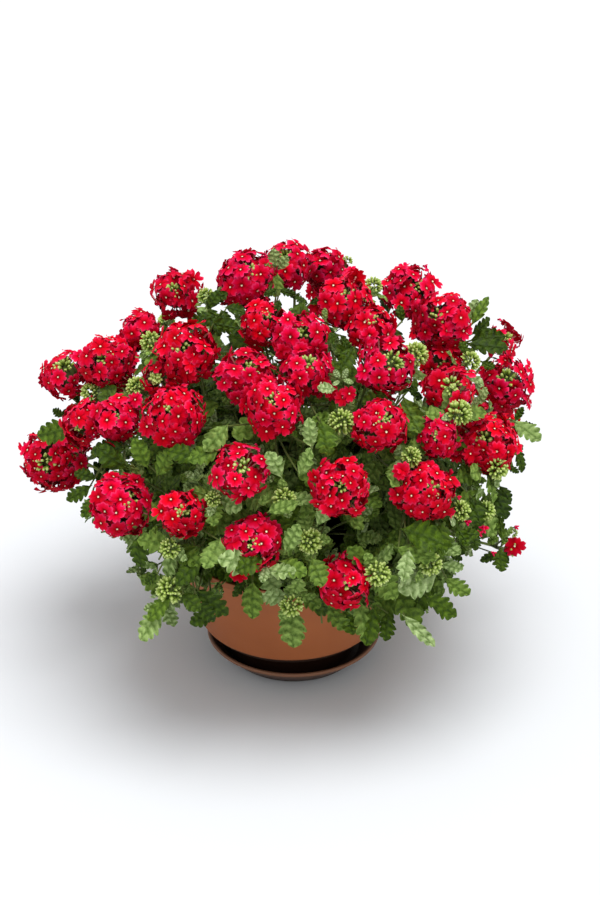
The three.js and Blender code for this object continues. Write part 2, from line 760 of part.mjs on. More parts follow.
// The middle line of a side stem that ends in a direction from the mound's centre.
function sideLine([, collar, end], direction) {
  const start = collar.clone().lerp(end, SIDE_STEM.start);
  const tip = outward(direction).multiply(MOUND.reach).multiplyScalar(SIDE_STEM.end).add(MOUND.centre);
  const arch = direction[1] < 0 ? SIDE_STEM.overRim : SIDE_STEM.arch;
  return [start, moved(start.clone().lerp(tip, SIDE_STEM.bend), UPWARD, arch), tip];
}

// The pair of leaves that a side stem bears a little before a point of its line, which comes there `along`.
function sidePair(point, along, draw) {
  const side = across(UPWARD.clone().cross(along), along);
  return [-1, 1].map((sign) => {
    const spread = degrees(between(SIDE_LEAF.spread, draw()));
    const outwards = side.clone().multiplyScalar(sign);
    const direction = inView(outwards, Math.sin(spread), along, Math.cos(spread));
    const root = moved(point, along, -SIDE_LEAF.before, outwards, -SIDE_LEAF.beyond * STEM.twig);
    const length = between([SIDE_LEAF.shortest, SIDE_LEAF.longest], draw());
    const face = across(faceOfMound(point).add(UPWARD), direction);
    return leafSolid({ root, along: direction, face, length, lobes: SIDE_LEAF.lobes, draw });
  });
}

function youngHead(spot, branches) {
  const centre = onMound(spot, spot.back ?? 0);
  const axis = faceOfMound(centre);
  const below = moved(centre, axis, -2 * spot.radius - YOUNG_HEAD.twigBack);
  const twig = [nearestOnBranches(branches, below), moved(centre, axis, -spot.radius)];
  return budCluster(centre, axis, spot.radius).add(stem(twig, STEM.twig, TRIANGLE));
}

// Whether a solid keeps clear of all the others.
function isClear(solid, others) {
  const box = solid.boundingBox();
  return others.every((other) => {
    const far = other.boundingBox();
    const apart = [0, 1, 2].some((k) => box.min[k] > far.max[k] + GAP || far.min[k] > box.max[k] + GAP);
    return apart || solid.minGap(other, 2 * GAP) >= GAP;
  });
}

// ---------------------------------------------------------------- bowl, saucer and soil

const BOWL_UNDER = SAUCER.floor + GAP;
const INSIDE_OF_BOWL = [[BOWL.foot - BOWL.wall, BOWL.floor + BOWL_UNDER], ...HOLLOW];

function bowlSolid() {
  const { foot, edge, edgeHeight, edgeBevel, edgeRound, rim, height, rimBand } = BOWL;
  const shell = turned([
    [0, BOWL_UNDER],
    [foot, BOWL_UNDER],
    [foot + 1, BOWL.waist],
    [edge - edgeBevel[0], edgeHeight - edgeBevel[1]],
    [edge, edgeHeight],
    [edge + edgeRound[0], edgeHeight + edgeRound[1]],
    [rim - rimBand.out, height - rimBand.height - rimBand.bevel],
    [rim, height - rimBand.height],
    [rim, height],
    [rim - rimBand.width, height],
    ...INSIDE_OF_BOWL.slice().reverse(),
    [0, BOWL.floor + BOWL_UNDER],
  ]);
  const holes = Array.from({ length: DRAIN.count }, (_, k) => {
    const angle = (2 * Math.PI * (k + HALF)) / DRAIN.count;
    const place = vector(DRAIN.ring * Math.cos(angle), DRAIN.ring * Math.sin(angle), 0);
    return stem([place, place.clone().setZ(2 * BOWL.floor + BOWL_UNDER)], DRAIN.radius, DRAIN.sides);
  });
  return shell.subtract(joinedAll(holes));
}

function saucerSolid() {
  const { foot, rim, height, lip, overhang, wall, step, floor } = SAUCER;
  return turned([
    [0, 0],
    [foot, 0],
    [rim - overhang, height - lip - step],
    [rim, height - lip],
    [rim, height],
    [rim - wall, height],
    [rim - wall - step, height - lip],
    [foot + overhang, floor],
    [0, floor],
  ]);
}

// The soil fills the bowl to a little below its rim, and each trunk stands in a plain hole in it.
function soilSolid(trunks) {
  const beside = INSIDE_OF_BOWL.slice(0, -1).map(([radius, height]) => [radius - GAP, height + GAP]);
  const [bottomRadius, bottom] = beside[0];
  const [[lowRadius, low], [highRadius, high]] = INSIDE_OF_BOWL.slice(-2);
  const wallRadius = between([lowRadius, highRadius], (SOIL_TOP - low) / (high - low));
  const filling = turned([
    [0, bottom],
    [bottomRadius, bottom],
    ...beside.slice(1),
    [wallRadius - SOIL.wallGap, SOIL_TOP],
    [0, SOIL_TOP + SOIL.dome],
  ]);
  const holes = trunks.map(({ line: [root, collar], side }) => {
    const hole = [moved(root, UPWARD, -GAP), moved(collar, UPWARD, COLLAR)];
    return stem(hole, STEM.trunk + SOIL.holeGap, SQUARE, side);
  });
  return filling.subtract(joinedAll(holes));
}

// ---------------------------------------------------------------- the plant

const pieces = [];
const heads = placeHeads();
heads.forEach((head, k) => {
  const draw = seeded(SEEDS.heads + k);
  head.spin = 2 * Math.PI * draw();
  const solid = headSolid(head, draw);
  if (head.joined) pieces.at(-1).solid = pieces.at(-1).solid.add(solid);
  else pieces.push({ name: `head_${String(pieces.length + 1).padStart(2, '0')}`, solid, look: 'red' });
});
const bloomSolids = pieces.map((piece) => piece.solid);

const shoots = Object.entries(SHOOTS).map(([name, { buds, leaves, sides }], k) => {
  const carried = heads.filter((head) => head.shoot === name && !head.joined);
  const { trunk, branches } = stemLines(heads.filter((head) => head.shoot === name));
  const stalks = branches.map((path, n) => branchSolid(path, carried[n]));
  const young = buds.map((spot) => youngHead(spot, branches));
  const frame = joinedAll([stem(trunk, STEM.trunk), ...stalks, ...young]);
  const draw = seeded(SEEDS.shoots + k);
  const grown = { blades: [], sideStems: [] };
  return { name, carried, trunk, branches, leaves, sides, stalks, young, frame, draw, ...grown };
});

const bowl = bowlSolid();
const saucer = saucerSolid();
const soil = soilSolid(shoots.map(({ trunk }) => {
  const [[corner]] = stemSections(trunk, STEM.trunk, SQUARE, FIRST_SIDE);
  return { line: trunk, side: corner.sub(trunk[0]) };
}));

// Leaves and side stems are added one by one, the shown leaves first, where they keep clear of all but what
// bears them.
function grow(shoot, growth, bearers) {
  const strangers = shoots.filter((one) => one !== shoot);
  const others = [
    ...bloomSolids,
    ...strangers.flatMap((one) => [one.frame, ...one.blades]),
    ...[...shoot.stalks, ...shoot.young, ...shoot.blades].filter((solid) => !bearers.includes(solid)),
    soil,
    bowl,
    saucer,
  ];
  const clear = isClear(growth, others);
  if (clear) shoot.blades.push(growth);
  return clear;
}
for (const shoot of shoots) {
  for (const spot of shoot.leaves) {
    grow(shoot, shownLeaf(spot, shoot.branches, shoot.draw), [...shoot.stalks, ...shoot.young]);
  }
}
for (const shoot of shoots) {
  shoot.branches.forEach((path, n) => {
    const [one, twin] = upperPair(path, shoot.carried[n], shoot.draw);
    grow(shoot, one, [shoot.stalks[n]]);
    grow(shoot, twin, [shoot.stalks[n], one]);
  });
}
for (const shoot of shoots) {
  for (const direction of shoot.sides) {
    const line = sideLine(shoot.trunk, direction);
    const bearer = stem(line, STEM.twig, TRIANGLE);
    if (!grow(shoot, bearer, [...shoot.stalks, ...shoot.young, ...shoot.sideStems])) continue;
    shoot.sideStems.push(bearer);
    for (const k of [1, 2]) {
      const along = line[k].clone().sub(line[k - 1]).normalize();
      const [one, twin] = sidePair(line[k], along, shoot.draw);
      grow(shoot, one, [bearer]);
      grow(shoot, twin, [bearer, one]);
    }
  }
}

for (const { name, frame, blades } of shoots) {
  const solid = joinedAll([frame, ...blades]).asOriginal().simplify(MERGE);
  pieces.push({ name: `shoot_${name}`, solid, look: 'green' });
}
pieces.push({ name: 'soil', solid: soil, look: 'soil' });
pieces.push({ name: 'pot', solid: bowl, look: 'plastic' });
pieces.push({ name: 'saucer', solid: saucer, look: 'plastic' });

// ---------------------------------------------------------------- the scene graph

function meshOf({ name, solid, look }) {
  const { vertProperties, triVerts } = solid.getMesh();
  const geometry = new THREE.BufferGeometry();
  geometry.setAttribute('position', new THREE.BufferAttribute(vertProperties, 3));
  geometry.setIndex(new THREE.BufferAttribute(triVerts, 1));
  geometry.computeVertexNormals();
  const mesh = new THREE.Mesh(geometry, new THREE.MeshStandardMaterial(COLOURS[look]));
  mesh.name = name;
  return mesh;
}

const verbena = new THREE.Group();
verbena.name = 'verbena';
verbena.add(...pieces.map(meshOf));

export default verbena;
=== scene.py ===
"""A garden verbena in full bloom in its bowl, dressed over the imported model. Lengths are millimetres until
a mesh is made, which turns them into metres. The front view looks along +Y from above."""

import math

import bpy
import numpy as np
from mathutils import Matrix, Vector


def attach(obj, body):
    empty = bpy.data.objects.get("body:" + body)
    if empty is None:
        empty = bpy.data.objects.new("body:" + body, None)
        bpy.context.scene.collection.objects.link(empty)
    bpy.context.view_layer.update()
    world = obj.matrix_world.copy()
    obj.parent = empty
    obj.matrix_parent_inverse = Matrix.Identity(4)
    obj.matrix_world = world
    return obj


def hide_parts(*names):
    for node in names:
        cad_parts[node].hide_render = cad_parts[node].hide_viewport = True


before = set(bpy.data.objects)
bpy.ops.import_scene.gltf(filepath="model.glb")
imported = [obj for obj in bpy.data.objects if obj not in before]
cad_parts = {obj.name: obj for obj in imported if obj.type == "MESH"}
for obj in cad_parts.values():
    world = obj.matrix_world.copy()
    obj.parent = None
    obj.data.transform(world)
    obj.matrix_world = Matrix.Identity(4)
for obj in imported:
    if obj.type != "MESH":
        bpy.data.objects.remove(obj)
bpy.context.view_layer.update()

MM = 0.001
BODY = "root"
WORDS = 0xFFFFFFFF

# ---------------------------------------------------------------- dimensions

# They are the solids', but for three that follow the photo more closely: the rim and the height of the
# saucer, and the height of the edge from which the bowl flares. The saucer stands a little aside.
GAP = 0.3
SAUCER = dict(foot=64, rim=86, height=23.5, lip=3, floor=3, aside=3.2)
BOWL = dict(foot=62, waist=15, edge=90, edge_height=43, rim=120, height=142, floor=4)
SOIL = dict(below_rim=14, dome=5)
SOIL_TOP = BOWL["height"] - SOIL["below_rim"]
MOUND_CENTRE = np.array([0, 0, 160.0])
MOUND_REACH = np.array([236.0, 212.0, 250.0])
VIEW = dict(elevation=31, distance=3500, across=9.5, up=195)
BRANCH = 1.7
STEM_DEPTH = 34
ROOT_SPREAD = 0.3
COLLAR = 8
FORK_SHARE = 0.45
KNEE = 1.4
LEAF_WIDTH = 0.52
UPPER_LEAF = dict(lobes=2, length=(38, 48), place=0.93, raised=(20, 45))
SIDE_STEM = dict(start=0.4, end=0.78, bend=0.62, over_rim=40, arch=12)
SIDE_LEAF = dict(lobes=2, length=(42, 52), before=3, spread=(40, 70))
SHOWN_LOBES = 4
FLATNESS = 0.86
CROWDING = 0.97
STEP_BACK = 2

# The visual model's own: how far a stalk sags, the radius under which a bud cluster has no leaves, and the
# height of the picture in pixels.
SAG = 2
BARE_CLUSTER = 6
PICTURE_HEIGHT = 900

# Where the random draws start: those for the spin of the heads and for the shoots are the solids' own, and
# the others are for what the visual model adds.
SEEDS = dict(spin=101, shoot=501, templates=20, bloom=300, greenery=900, mound=77, skirt=78, soil=5)

# The shoots, as in the solids. Places across and up are in the front view, and all angles are degrees.
# A head is (across, up, radius, lean across, lean up, further back, joined to the one before), and where
# the front view doesn't show it, (round, above the level, radius).
# A bud cluster is (across, up, radius, further back) or (round, above the level, radius).
# A leaf is (across, up, direction, length, tilt towards the eye, further back).
# A side stem ends (round, above the level).
SHOOTS = {
    "left": dict(
        heads=[(-224, 270, 26, -.14, .63, 0, 0), (-182.5, 282, 28, -.1, .2, 0, 0),
               (-174.5, 225.5, 23, 0, .1, 0, 0), (-206.5, 223, 22, -.3, -.2, 18, 1)],
        buds=[(-201.5, 253, 9, 0)],
        sides=[(158, -16), (170, -6)],
        leaves=[(-218, 218, 195, 38, 10, 0), (-226, 228, 150, 30, 0, 0)]),
    "lowLeft": dict(
        heads=[(-238.5, 185, 32, -.33, -.13, 0, 0), (-168.5, 141, 31.5, .33, .2, 0, 0),
               (-107.5, 131, 23, 0, .15, 0, 0)],
        buds=[(-122, 54, 11, 20), (-121.5, 96, 8, 8), (-78, 146, 7, 0)],
        sides=[(208, -12), (242, 0)],
        leaves=[(-150, 112, 262, 46, 10, 0), (-118, 50, 222, 46, 12, 0), (-132, 72, 215, 34, 10, 0),
                (-110, 52, 325, 26, 15, 0), (-96, 44, 318, 42, -5, 0)]),
    "upperLeft": dict(
        heads=[(-114.5, 351, 25, -.2, .2, 0, 0), (-149.5, 314, 20, .1, .1, 0, 0),
               (-105.5, 293, 31, -.2, .2, 0, 0), (-132.5, 267, 17, -.2, 0, 10, 1),
               (-117, 230, 31, 0, .2, 0, 0)],
        buds=[(-85, 350.5, 7.5, 6), (-141.5, 305, 9, -8), (-155.5, 259, 9, 0)],
        sides=[(157, 12)],
        leaves=[(-84, 334, 60, 34, 25, 0), (-80, 322, 350, 30, 20, 0)]),
    "middle": dict(
        heads=[(-16.5, 239, 29, .05, .33, 0, 0), (-44, 268, 29, .2, .4, 0, 0),
               (16.5, 273, 25, .07, .58, 4, 0), (10.5, 305, 27, 0, .45, 15, 1)],
        buds=[(51.5, 224, 11, 6)],
        sides=[(262, 24)],
        leaves=[(30, 226, 285, 36, 10, 0), (-62, 222, 235, 36, 15, 0)]),
    "upper": dict(
        heads=[(-42.5, 366.5, 29.5, .08, .37, 0, 0), (-3.5, 379, 26, -.2, .6, 22, 0),
               (33.5, 377, 22, -.6, .3, 6, 0), (-25.5, 320, 24, 0, .55, 16, 0)],
        buds=[],
        sides=[(85, -16), (110, 12)],
        leaves=[(14, 345, 250, 34, 20, 0)]),
    "front": dict(
        heads=[(-49.5, 174, 29, .03, .37, 0, 0), (-37.5, 102, 28, 0, .05, 14, 0),
               (-50.5, 74, 16, -.1, -.2, 14, 1), (50.5, 156, 29.5, 0, .2, 0, 0),
               (54.5, 63, 27, .05, 0, 26, 0)],
        buds=[(-6.5, 145.5, 10, 10), (19.5, 103, 11, 16), (1, 38.4, 9.5, 50)],
        sides=[],
        leaves=[(-46, 68, 250, 36, 15, 30), (2, 40, 266, 42, 5, 55), (36, 42, 300, 34, 10, 45),
                (68, 46, 285, 46, 8, 40), (-26, 88, 200, 38, 40, 4), (-12, 84, 340, 34, 35, 6)]),
    "right": dict(
        heads=[(151.5, 324, 30, -.27, .13, 0, 0), (152.5, 280, 23, 0, -.3, 4, 1),
               (216.5, 260, 29, -.1, .33, 0, 0), (212.5, 304, 20, .2, .3, 16, 0),
               (159.5, 255, 27, 0, .25, 0, 0)],
        buds=[(181.5, 285, 9, 0)],
        sides=[(0, 0), (12, 12), (25, -16), (338, 6)],
        leaves=[(180, 318, 60, 38, 5, 0), (178, 304, 10, 38, 20, -8), (226, 216, 12, 34, 5, 0)]),
    "upperRight": dict(
        heads=[(95.5, 279, 29, .34, .24, -6, 0), (80.5, 317, 24, 0, .5, 0, 0),
               (55, 343, 28, .2, .3, 14, 1), (119.5, 354, 28.5, .42, .25, 0, 0)],
        buds=[(83.5, 361, 8, 0), (57, 385, 5, 12), (126.5, 292, 11, 6)],
        sides=[],
        leaves=[(64, 300, 245, 30, 15, 0)]),
    "lowRight": dict(
        heads=[(89.5, 219, 26.5, .17, .36, 0, 0), (134.5, 153, 30, .33, .13, 0, 0),
               (146.5, 208, 20, 0, .1, 0, 0), (196.5, 202, 31, -.25, .2, 0, 0),
               (223.5, 98, 13, .1, .2, 10, 0)],
        buds=[(170.5, 233, 11, -26), (208.5, 165, 10, -4), (121.5, 188, 9, 0), (171.5, 134, 9, 0),
              (196.5, 134, 9, 0), (88, 70.5, 11, 24), (141.5, 80, 9, 20), (226.5, 118, 8, 0)],
        sides=[(304, 0)],
        leaves=[(106, 56, 300, 44, 15, 30), (140, 70, 250, 42, 15, 26), (158, 92, 335, 34, 10, 14),
                (104, 98, 340, 40, 25, 10), (208, 92, 205, 28, 20, 10), (184, 116, 270, 36, 15, 6)]),
    "backLeft": dict(
        heads=[(160, 3, 28), (140, 8, 26.5), (143, 22, 26.5), (119, 15, 28), (106, 42, 27)],
        buds=[(128, 32, 9), (150, 27, 9)],
        sides=[(106, -16), (133, -16), (140, 42)],
        leaves=[]),
    "backRight": dict(
        heads=[(85, 10, 26.5), (76, 40, 28), (47, 12, 27), (46, 29, 26), (29, 8, 26)],
        buds=[(66, 30, 9), (36, 30, 9)],
        sides=[(58, -16), (65, 12), (40, 42), (90, 42)],
        leaves=[]),
}

# More leaves that the front view shows: (across, up, direction, length, tilt towards the eye, further back,
# light, youth) and, where it isn't 1, the share of its breadth.
FURTHER_LEAVES = {
    "left": [
        (-198, 160, 211, 30, 5, 4, .2, 0), (-195, 150, 248, 25, 10, 4, .3, 0),
        (-193, 166, 160, 24, 5, 8, .15, 0), (-162, 176, 150, 38, 10, 10, .15, 0),
        (-164, 196, 178, 34, 10, 14, .1, 0), (-142, 176, 118, 34, 20, 6, .6, 0),
        (-134, 168, 60, 32, 25, 6, .5, .1),
    ],
    "lowLeft": [
        (-114, 55, 165, 38, 5, 20, .6, .3), (-130, 42, 205, 18, 20, 0, .8, .8),
        (-127, 46, 288, 30, 15, 30, .8, .7), (-127, 35, 226, 37, 15, -4, .7, .75, 1.3),
        (-110, 54, 308, 26, 20, 30, .9, .9), (-96, 56, 322, 42, 0, 8, .15, 0),
        (-76, 34, 214, 27, 5, 12, .2, 0), (-134, 122, 258, 20, 20, 12, .5, .2),
        (-98, 104, 262, 34, 20, 16, .4, .1), (-88, 84, 215, 34, 15, 8, .2, 0),
        (-112, 84, 190, 12, 10, 34, .15, 0), (-70, 108, 250, 36, 25, 4, .7, .3),
    ],
    "upperLeft": [
        (-86, 340, 30, 26, 10, 4, .1, 0), (-66, 334, 250, 26, 10, 6, .1, 0),
        (-72, 330, 200, 28, 10, 6, .1, 0), (-66, 338, 350, 22, 10, 6, .1, 0),
        (-70, 336, 300, 19, 10, 6, .15, 0), (-84, 338, 300, 25, 15, 2, .4, .1),
    ],
    "middle": [
        (-8, 166, 110, 34, 35, 0, .8, .6), (8, 168, 60, 30, 35, 0, .7, .5),
        (22, 196, 100, 30, 30, 4, .8, .6), (-24, 132, 20, 32, 30, 4, .6, .5),
        (-70, 196, 200, 32, 25, 4, .5, .1), (-88, 186, 160, 34, 15, 8, .3, 0),
    ],
    "front": [
        (-28, 78, 163, 46, 25, 0, .85, .7), (-26, 76, 350, 32, 25, 0, .8, .7),
        (-24, 80, 260, 18, 30, 0, .9, .8), (-6, 92, 60, 34, 30, 0, .7, .5),
        (54, 36, 286, 27, 5, 40, .35, 0), (20, 88, 300, 32, 20, 8, .5, .2), (84, 40, 260, 41, 5, 34, .3, 0),
        (98, 35, 265, 31, 5, 36, .25, 0), (-38, 65, 268, 37, 10, 22, .6, .1),
        (26, 118, 60, 30, 30, 4, .8, .5),
    ],
    "upper": [
        (46, 256, 178, 20, 30, -4, .9, .8), (52, 266, 60, 12, 30, -4, .9, .9),
        (50, 266, 130, 12, 30, -4, .9, .9), (52, 265, 350, 11, 30, -4, .8, .9),
        (50, 264, 200, 9, 30, -4, .9, .9), (-14, 374, 100, 24, 30, -8, .8, .7),
        (-14, 374, 55, 20, 30, -8, .8, .7), (-15, 372, 150, 18, 30, -8, .6, .6),
        (-13, 372, 265, 24, 10, -8, .4, .5), (-12, 356, 205, 16, 10, 2, .1, 0),
        (-12, 356, 335, 17, 10, 2, .1, 0), (-11, 346, 260, 13, 10, 2, .15, 0),
        (18, 341, 150, 15, 10, 8, .1, 0), (18, 341, 20, 17, 10, 8, .1, 0),
        (17, 339, 250, 14, 10, 8, .15, 0), (33, 322, 80, 15, 20, 6, .7, .6),
        (49, 311, 200, 17, 10, 8, .15, 0), (49, 311, 310, 17, 10, 8, .15, 0),
    ],
    "right": [
        (222, 225, 323, 35, 10, -6, .85, .3, 1.15), (224, 223, 60, 18, 5, 4, .25, 0),
        (220, 190, 30, 16, 5, 6, .3, 0), (217, 180, 320, 14, 5, 8, .2, 0), (178, 322, 75, 26, 5, 4, .9, .6),
        (180, 310, 30, 26, 5, 8, .2, 0), (176, 302, 352, 41, 10, 2, .12, 0),
        (226, 197, 292, 25, 5, 2, .2, 0), (187, 297, 205, 20, 10, 6, .4, .2),
        (176, 290, 110, 17, 10, 6, .3, .1), (190, 284, 330, 16, 10, 6, .3, .1),
        (186, 239, 60, 20, 30, -4, .9, .5), (188, 236, 125, 17, 30, -4, .9, .5),
    ],
    "upperRight": [
        (126, 268, 255, 18, 10, 10, .3, .1), (121, 262, 285, 15, 10, 12, .1, 0),
        (104, 318, 280, 22, 15, 8, .15, 0), (112, 322, 100, 18, 15, 8, .2, 0),
    ],
    "lowRight": [
        (212, 103, 97, 26, 10, 0, .4, .1, .8), (213, 106, 50, 15, 10, 0, .7, .3, .8),
        (209, 108, 200, 13, 10, 0, .4, .2, 1.2), (208, 113, 115, 14, 10, 0, .3, .1, 1.2),
        (212, 99, 70, 14, 5, 0, .5, .2, 1.2), (112, 250, 290, 42, 15, 6, .5, .1),
        (100, 252, 200, 30, 10, 8, .4, .1), (204, 160, 286, 36, 5, 6, .05, 0),
        (208, 160, 310, 22, 5, 8, .1, 0), (164, 120, 307, 25, 10, 6, .3, 0),
        (164, 112, 352, 25, 5, 8, .3, 0), (110, 116, 347, 46, 20, 6, .3, 0),
        (150, 105, 320, 24, 10, 4, .8, .5), (118, 97, 264, 32, 25, 0, .9, .6),
        (150, 82, 340, 23, 10, 4, .85, .5), (154, 68, 318, 30, 10, 4, .6, .2, 1.35),
        (134, 50, 331, 38, 10, 10, .4, 0), (148, 72, 200, 43, 20, 0, .95, .6),
        (130, 48, 205, 24, 5, 14, .15, 0), (111, 31, 318, 46, 15, 6, .95, .55, .62),
        (210, 98, 268, 25, 5, 4, .25, 0), (168, 146, 250, 34, 15, 8, .2, 0),
        (180, 150, 290, 32, 15, 8, .15, 0), (150, 124, 270, 32, 15, 6, .4, 0),
    ],
}

# The shoots' own leaves whose look is set: light, and the shares of their length and breadth.
OWN_LEAVES = {
    ("right", 0): (0.65, 0.95, 0.6), ("right", 1): (0.12, 1.0, 0.9), ("right", 2): (0.1, 0.55, 1.0),
    ("lowRight", 1): (0.3, 1.0, 1.0), ("lowRight", 2): (0.1, 0.45, 1.0),
    ("lowRight", 4): (0.1, 0.7, 1.0), ("lowRight", 5): (0.12, 0.6, 1.0),
    ("upperLeft", 0): (0.12, 0.7, 1.0), ("upperLeft", 1): (0.12, 1.0, 1.0),
    ("lowLeft", 0): (0.15, 0.72, 1.1), ("lowLeft", 1): (0.6, 0.75, 1.0), ("lowLeft", 2): (0.1, 0.5, 1.0),
    ("lowLeft", 4): (0.1, 0.7, 1.0), ("front", 0): (0.1, 0.6, 1.0), ("front", 1): (0.85, 1.0, 1.2),
    ("left", 0): (0.55, 0.95, 1.0), ("left", 1): (0.2, 0.5, 1.0),
}

# Single florets and the last ones of old heads: (across, up, spread, further back, florets, shade).
STRAY_FLORETS = {
    "upperLeft": [(-154.5, 248, 3, 0, 1, 0.1)],
    "upperRight": [(63.5, 372, 5, 8, 2, 0.0)],
    "lowRight": [(107.5, 177, 5, -4, 2, 0.0), (165, 214, 9, 4, 4, 0.2), (173, 194, 8, 8, 3, 0.6)],
    "middle": [(50.5, 247, 11, 16, 4, 0.5)],
}

# Closed red buds: (across, up, radius, further back).
RED_BUDS = {
    "lowRight": [
        (177.5, 123, 4, 0), (194, 117, 5.5, 0), (190, 112, 4, 0), (161, 130, 3, -4), (169, 148, 2.6, -4),
        (226.5, 118, 3, 0), (203.5, 92, 3, 0),
    ],
    "lowLeft": [(-129.5, 41, 2.4, -4)],
}

# Bud clusters that stand elsewhere than the solid's, or are smaller: (across, up, radius, further back).
MOVED_BUDS = {
    ("lowRight", 1): (208.5, 177, 10, -24), ("lowRight", 5): (88, 70.5, 11, 4),
    ("lowRight", 6): (141.5, 80, 10, -4), ("lowRight", 7): (224, 112, 4, 6),
    ("lowLeft", 0): (-122, 54, 12, -2), ("lowLeft", 1): (-121.5, 96, 9, -6),
    ("front", 2): (1, 38.4, 10, 34),
}

# ---------------------------------------------------------------- directions and chance


def vec(x, y, z):
    return np.array([x, y, z], dtype=float)


def unit(v):
    return v / np.linalg.norm(v)


LEVEL = math.radians(VIEW["elevation"])
RIGHT = vec(1, 0, 0)
UP = vec(0, math.sin(LEVEL), math.cos(LEVEL))
NEAR = vec(0, -math.cos(LEVEL), math.sin(LEVEL))
SKY = vec(0, 0, 1)
NEARLY_UP = SKY + 0.01
EYE = RIGHT * VIEW["across"] + UP * VIEW["up"] + NEAR * VIEW["distance"]
GOLDEN = 2.39996
OPPOSITE = (0, math.pi)


def across(direction, axis):
    """The part of direction at a right angle to axis, at length 1."""
    part = direction - axis * direction.dot(axis)
    if part.dot(part) < 1e-8:
        return across(vec(axis[1], axis[2], axis[0]), axis)
    return unit(part)


def around(axis, turn, first=NEARLY_UP):
    """The way at a right angle to axis that is nearest to first, turned round the axis."""
    side = across(first, axis)
    return side * math.cos(turn) + np.cross(axis, side) * math.sin(turn)


def between(limits, share):
    return limits[0] + (limits[1] - limits[0]) * share


def seeded(seed):
    """The same evenly spread numbers as the solids draw."""
    state = [seed & WORDS]

    def draw():
        state[0] = (state[0] + 0x6D2B79F5) & WORDS
        s = state[0]
        t = ((s ^ (s >> 15)) * (1 | s)) & WORDS
        t = ((t + (((t ^ (t >> 7)) * (61 | t)) & WORDS)) & WORDS) ^ t
        return (t ^ (t >> 14)) / 4294967296

    return draw


def pass_lobes(draw, lobes):
    """Passes over the two numbers that the solids draw for each lobe of a leaf."""
    for _ in range(2 * (2 * lobes - 1)):
        draw()


def sight_through(x, up):
    return unit(RIGHT * x + UP * up - EYE)


def in_front_view(x, up, back=0):
    """Where a line of sight meets the mound, or passes closest to it, and back further along it."""
    sight = sight_through(x, up)
    start = (EYE - MOUND_CENTRE) / MOUND_REACH
    step = sight / MOUND_REACH
    a, b, c = step.dot(step), start.dot(step), start.dot(start) - 1
    distance = (-b - math.sqrt(max(b * b - a * c, 0))) / a
    return EYE + sight * (distance + back)


def seen_at(point):
    """Across and up of a point in the front view."""
    ray = point - EYE
    scale = VIEW["distance"] / -ray.dot(NEAR)
    return VIEW["across"] + ray.dot(RIGHT) * scale, VIEW["up"] + ray.dot(UP) * scale


def outward(degrees_round, degrees_above):
    turn, rise = math.radians(degrees_round), math.radians(degrees_above)
    return vec(math.cos(rise) * math.cos(turn), math.cos(rise) * math.sin(turn), math.sin(rise))


def on_mound(spot, back=0):
    """The place of a bud cluster or a head: (round, above, radius) or (across, up, radius, ...)."""
    if len(spot) == 3:
        out = outward(spot[0], spot[1])
        return out * MOUND_REACH + MOUND_CENTRE - out * back
    return in_front_view(spot[0], spot[1], back)


def face_of_mound(point):
    return unit((point - MOUND_CENTRE) / MOUND_REACH ** 2)


def place_heads():
    """The heads where the solids have them: one that is too near another stands further back."""
    placed = []
    for shoot, parts in SHOOTS.items():
        for spot in parts["heads"]:
            hidden = len(spot) == 3
            radius = spot[2]
            back, joined = (0, 0) if hidden else spot[5:7]
            if joined:
                sight = sight_through(spot[0], spot[1])
                depth = (EYE - placed[-1]["centre"]).dot(NEAR) + back
                centre = EYE + sight * (depth / -sight.dot(NEAR))
            else:
                centre = on_mound(spot, back)
                while any(np.linalg.norm(h["centre"] - centre) < CROWDING * (h["radius"] + radius)
                          for h in placed):
                    back += STEP_BACK
                    centre = on_mound(spot, back)
            if hidden:
                axis = outward(spot[0], spot[1])
            else:
                right, up = spot[3:5]
                axis = RIGHT * right + UP * up + NEAR * math.sqrt(1 - right ** 2 - up ** 2)
            spin = 2 * math.pi * seeded(SEEDS["spin"] + len(placed))()
            placed.append(dict(shoot=shoot, centre=centre, axis=axis, radius=radius, joined=bool(joined),
                               spin=spin))
    return placed


# ---------------------------------------------------------------- mesh building


class Bag:
    """Gathers surfaces, each with four numbers a corner (its tone) that the materials read."""

    def __init__(self):
        self.points, self.tones, self.faces, self.count = [], [], [], 0

    def add(self, points, faces, tone, material):
        """faces are index arrays with 3 or 4 columns. tone is 4 numbers, or an array of 4 columns."""
        self.points.append(points)
        self.tones.append(np.broadcast_to(np.asarray(tone, dtype=float), (len(points), 4)))
        for block in faces:
            self.faces.append((block + self.count, material))
        self.count += len(points)

    def piece(self, name, materials, slot, replaced):
        mesh = bpy.data.meshes.new(name)
        points = np.concatenate(self.points) * MM
        loops = np.concatenate([block.ravel() for block, _ in self.faces])
        totals = np.concatenate([np.full(len(block), block.shape[1]) for block, _ in self.faces])
        looks = np.concatenate([np.full(len(block), materials.index(look)) for block, look in self.faces])
        mesh.vertices.add(len(points))
        mesh.vertices.foreach_set("co", points.ravel())
        mesh.loops.add(len(loops))
        mesh.loops.foreach_set("vertex_index", loops.astype(np.int32))
        mesh.polygons.add(len(totals))
        mesh.polygons.foreach_set("loop_start", (np.cumsum(totals) - totals).astype(np.int32))
        mesh.polygons.foreach_set("material_index", looks.astype(np.int32))
        mesh.update(calc_edges=True)
        mesh.shade_smooth()
        tone = mesh.attributes.new("tone", "FLOAT_COLOR", "POINT")
        tone.data.foreach_set("color", np.concatenate(self.tones).ravel())
        for material in materials:
            mesh.materials.append(material)
        thing = bpy.data.objects.new(name, mesh)
        bpy.context.scene.collection.objects.link(thing)
        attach(thing, BODY)
        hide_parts(*replaced)


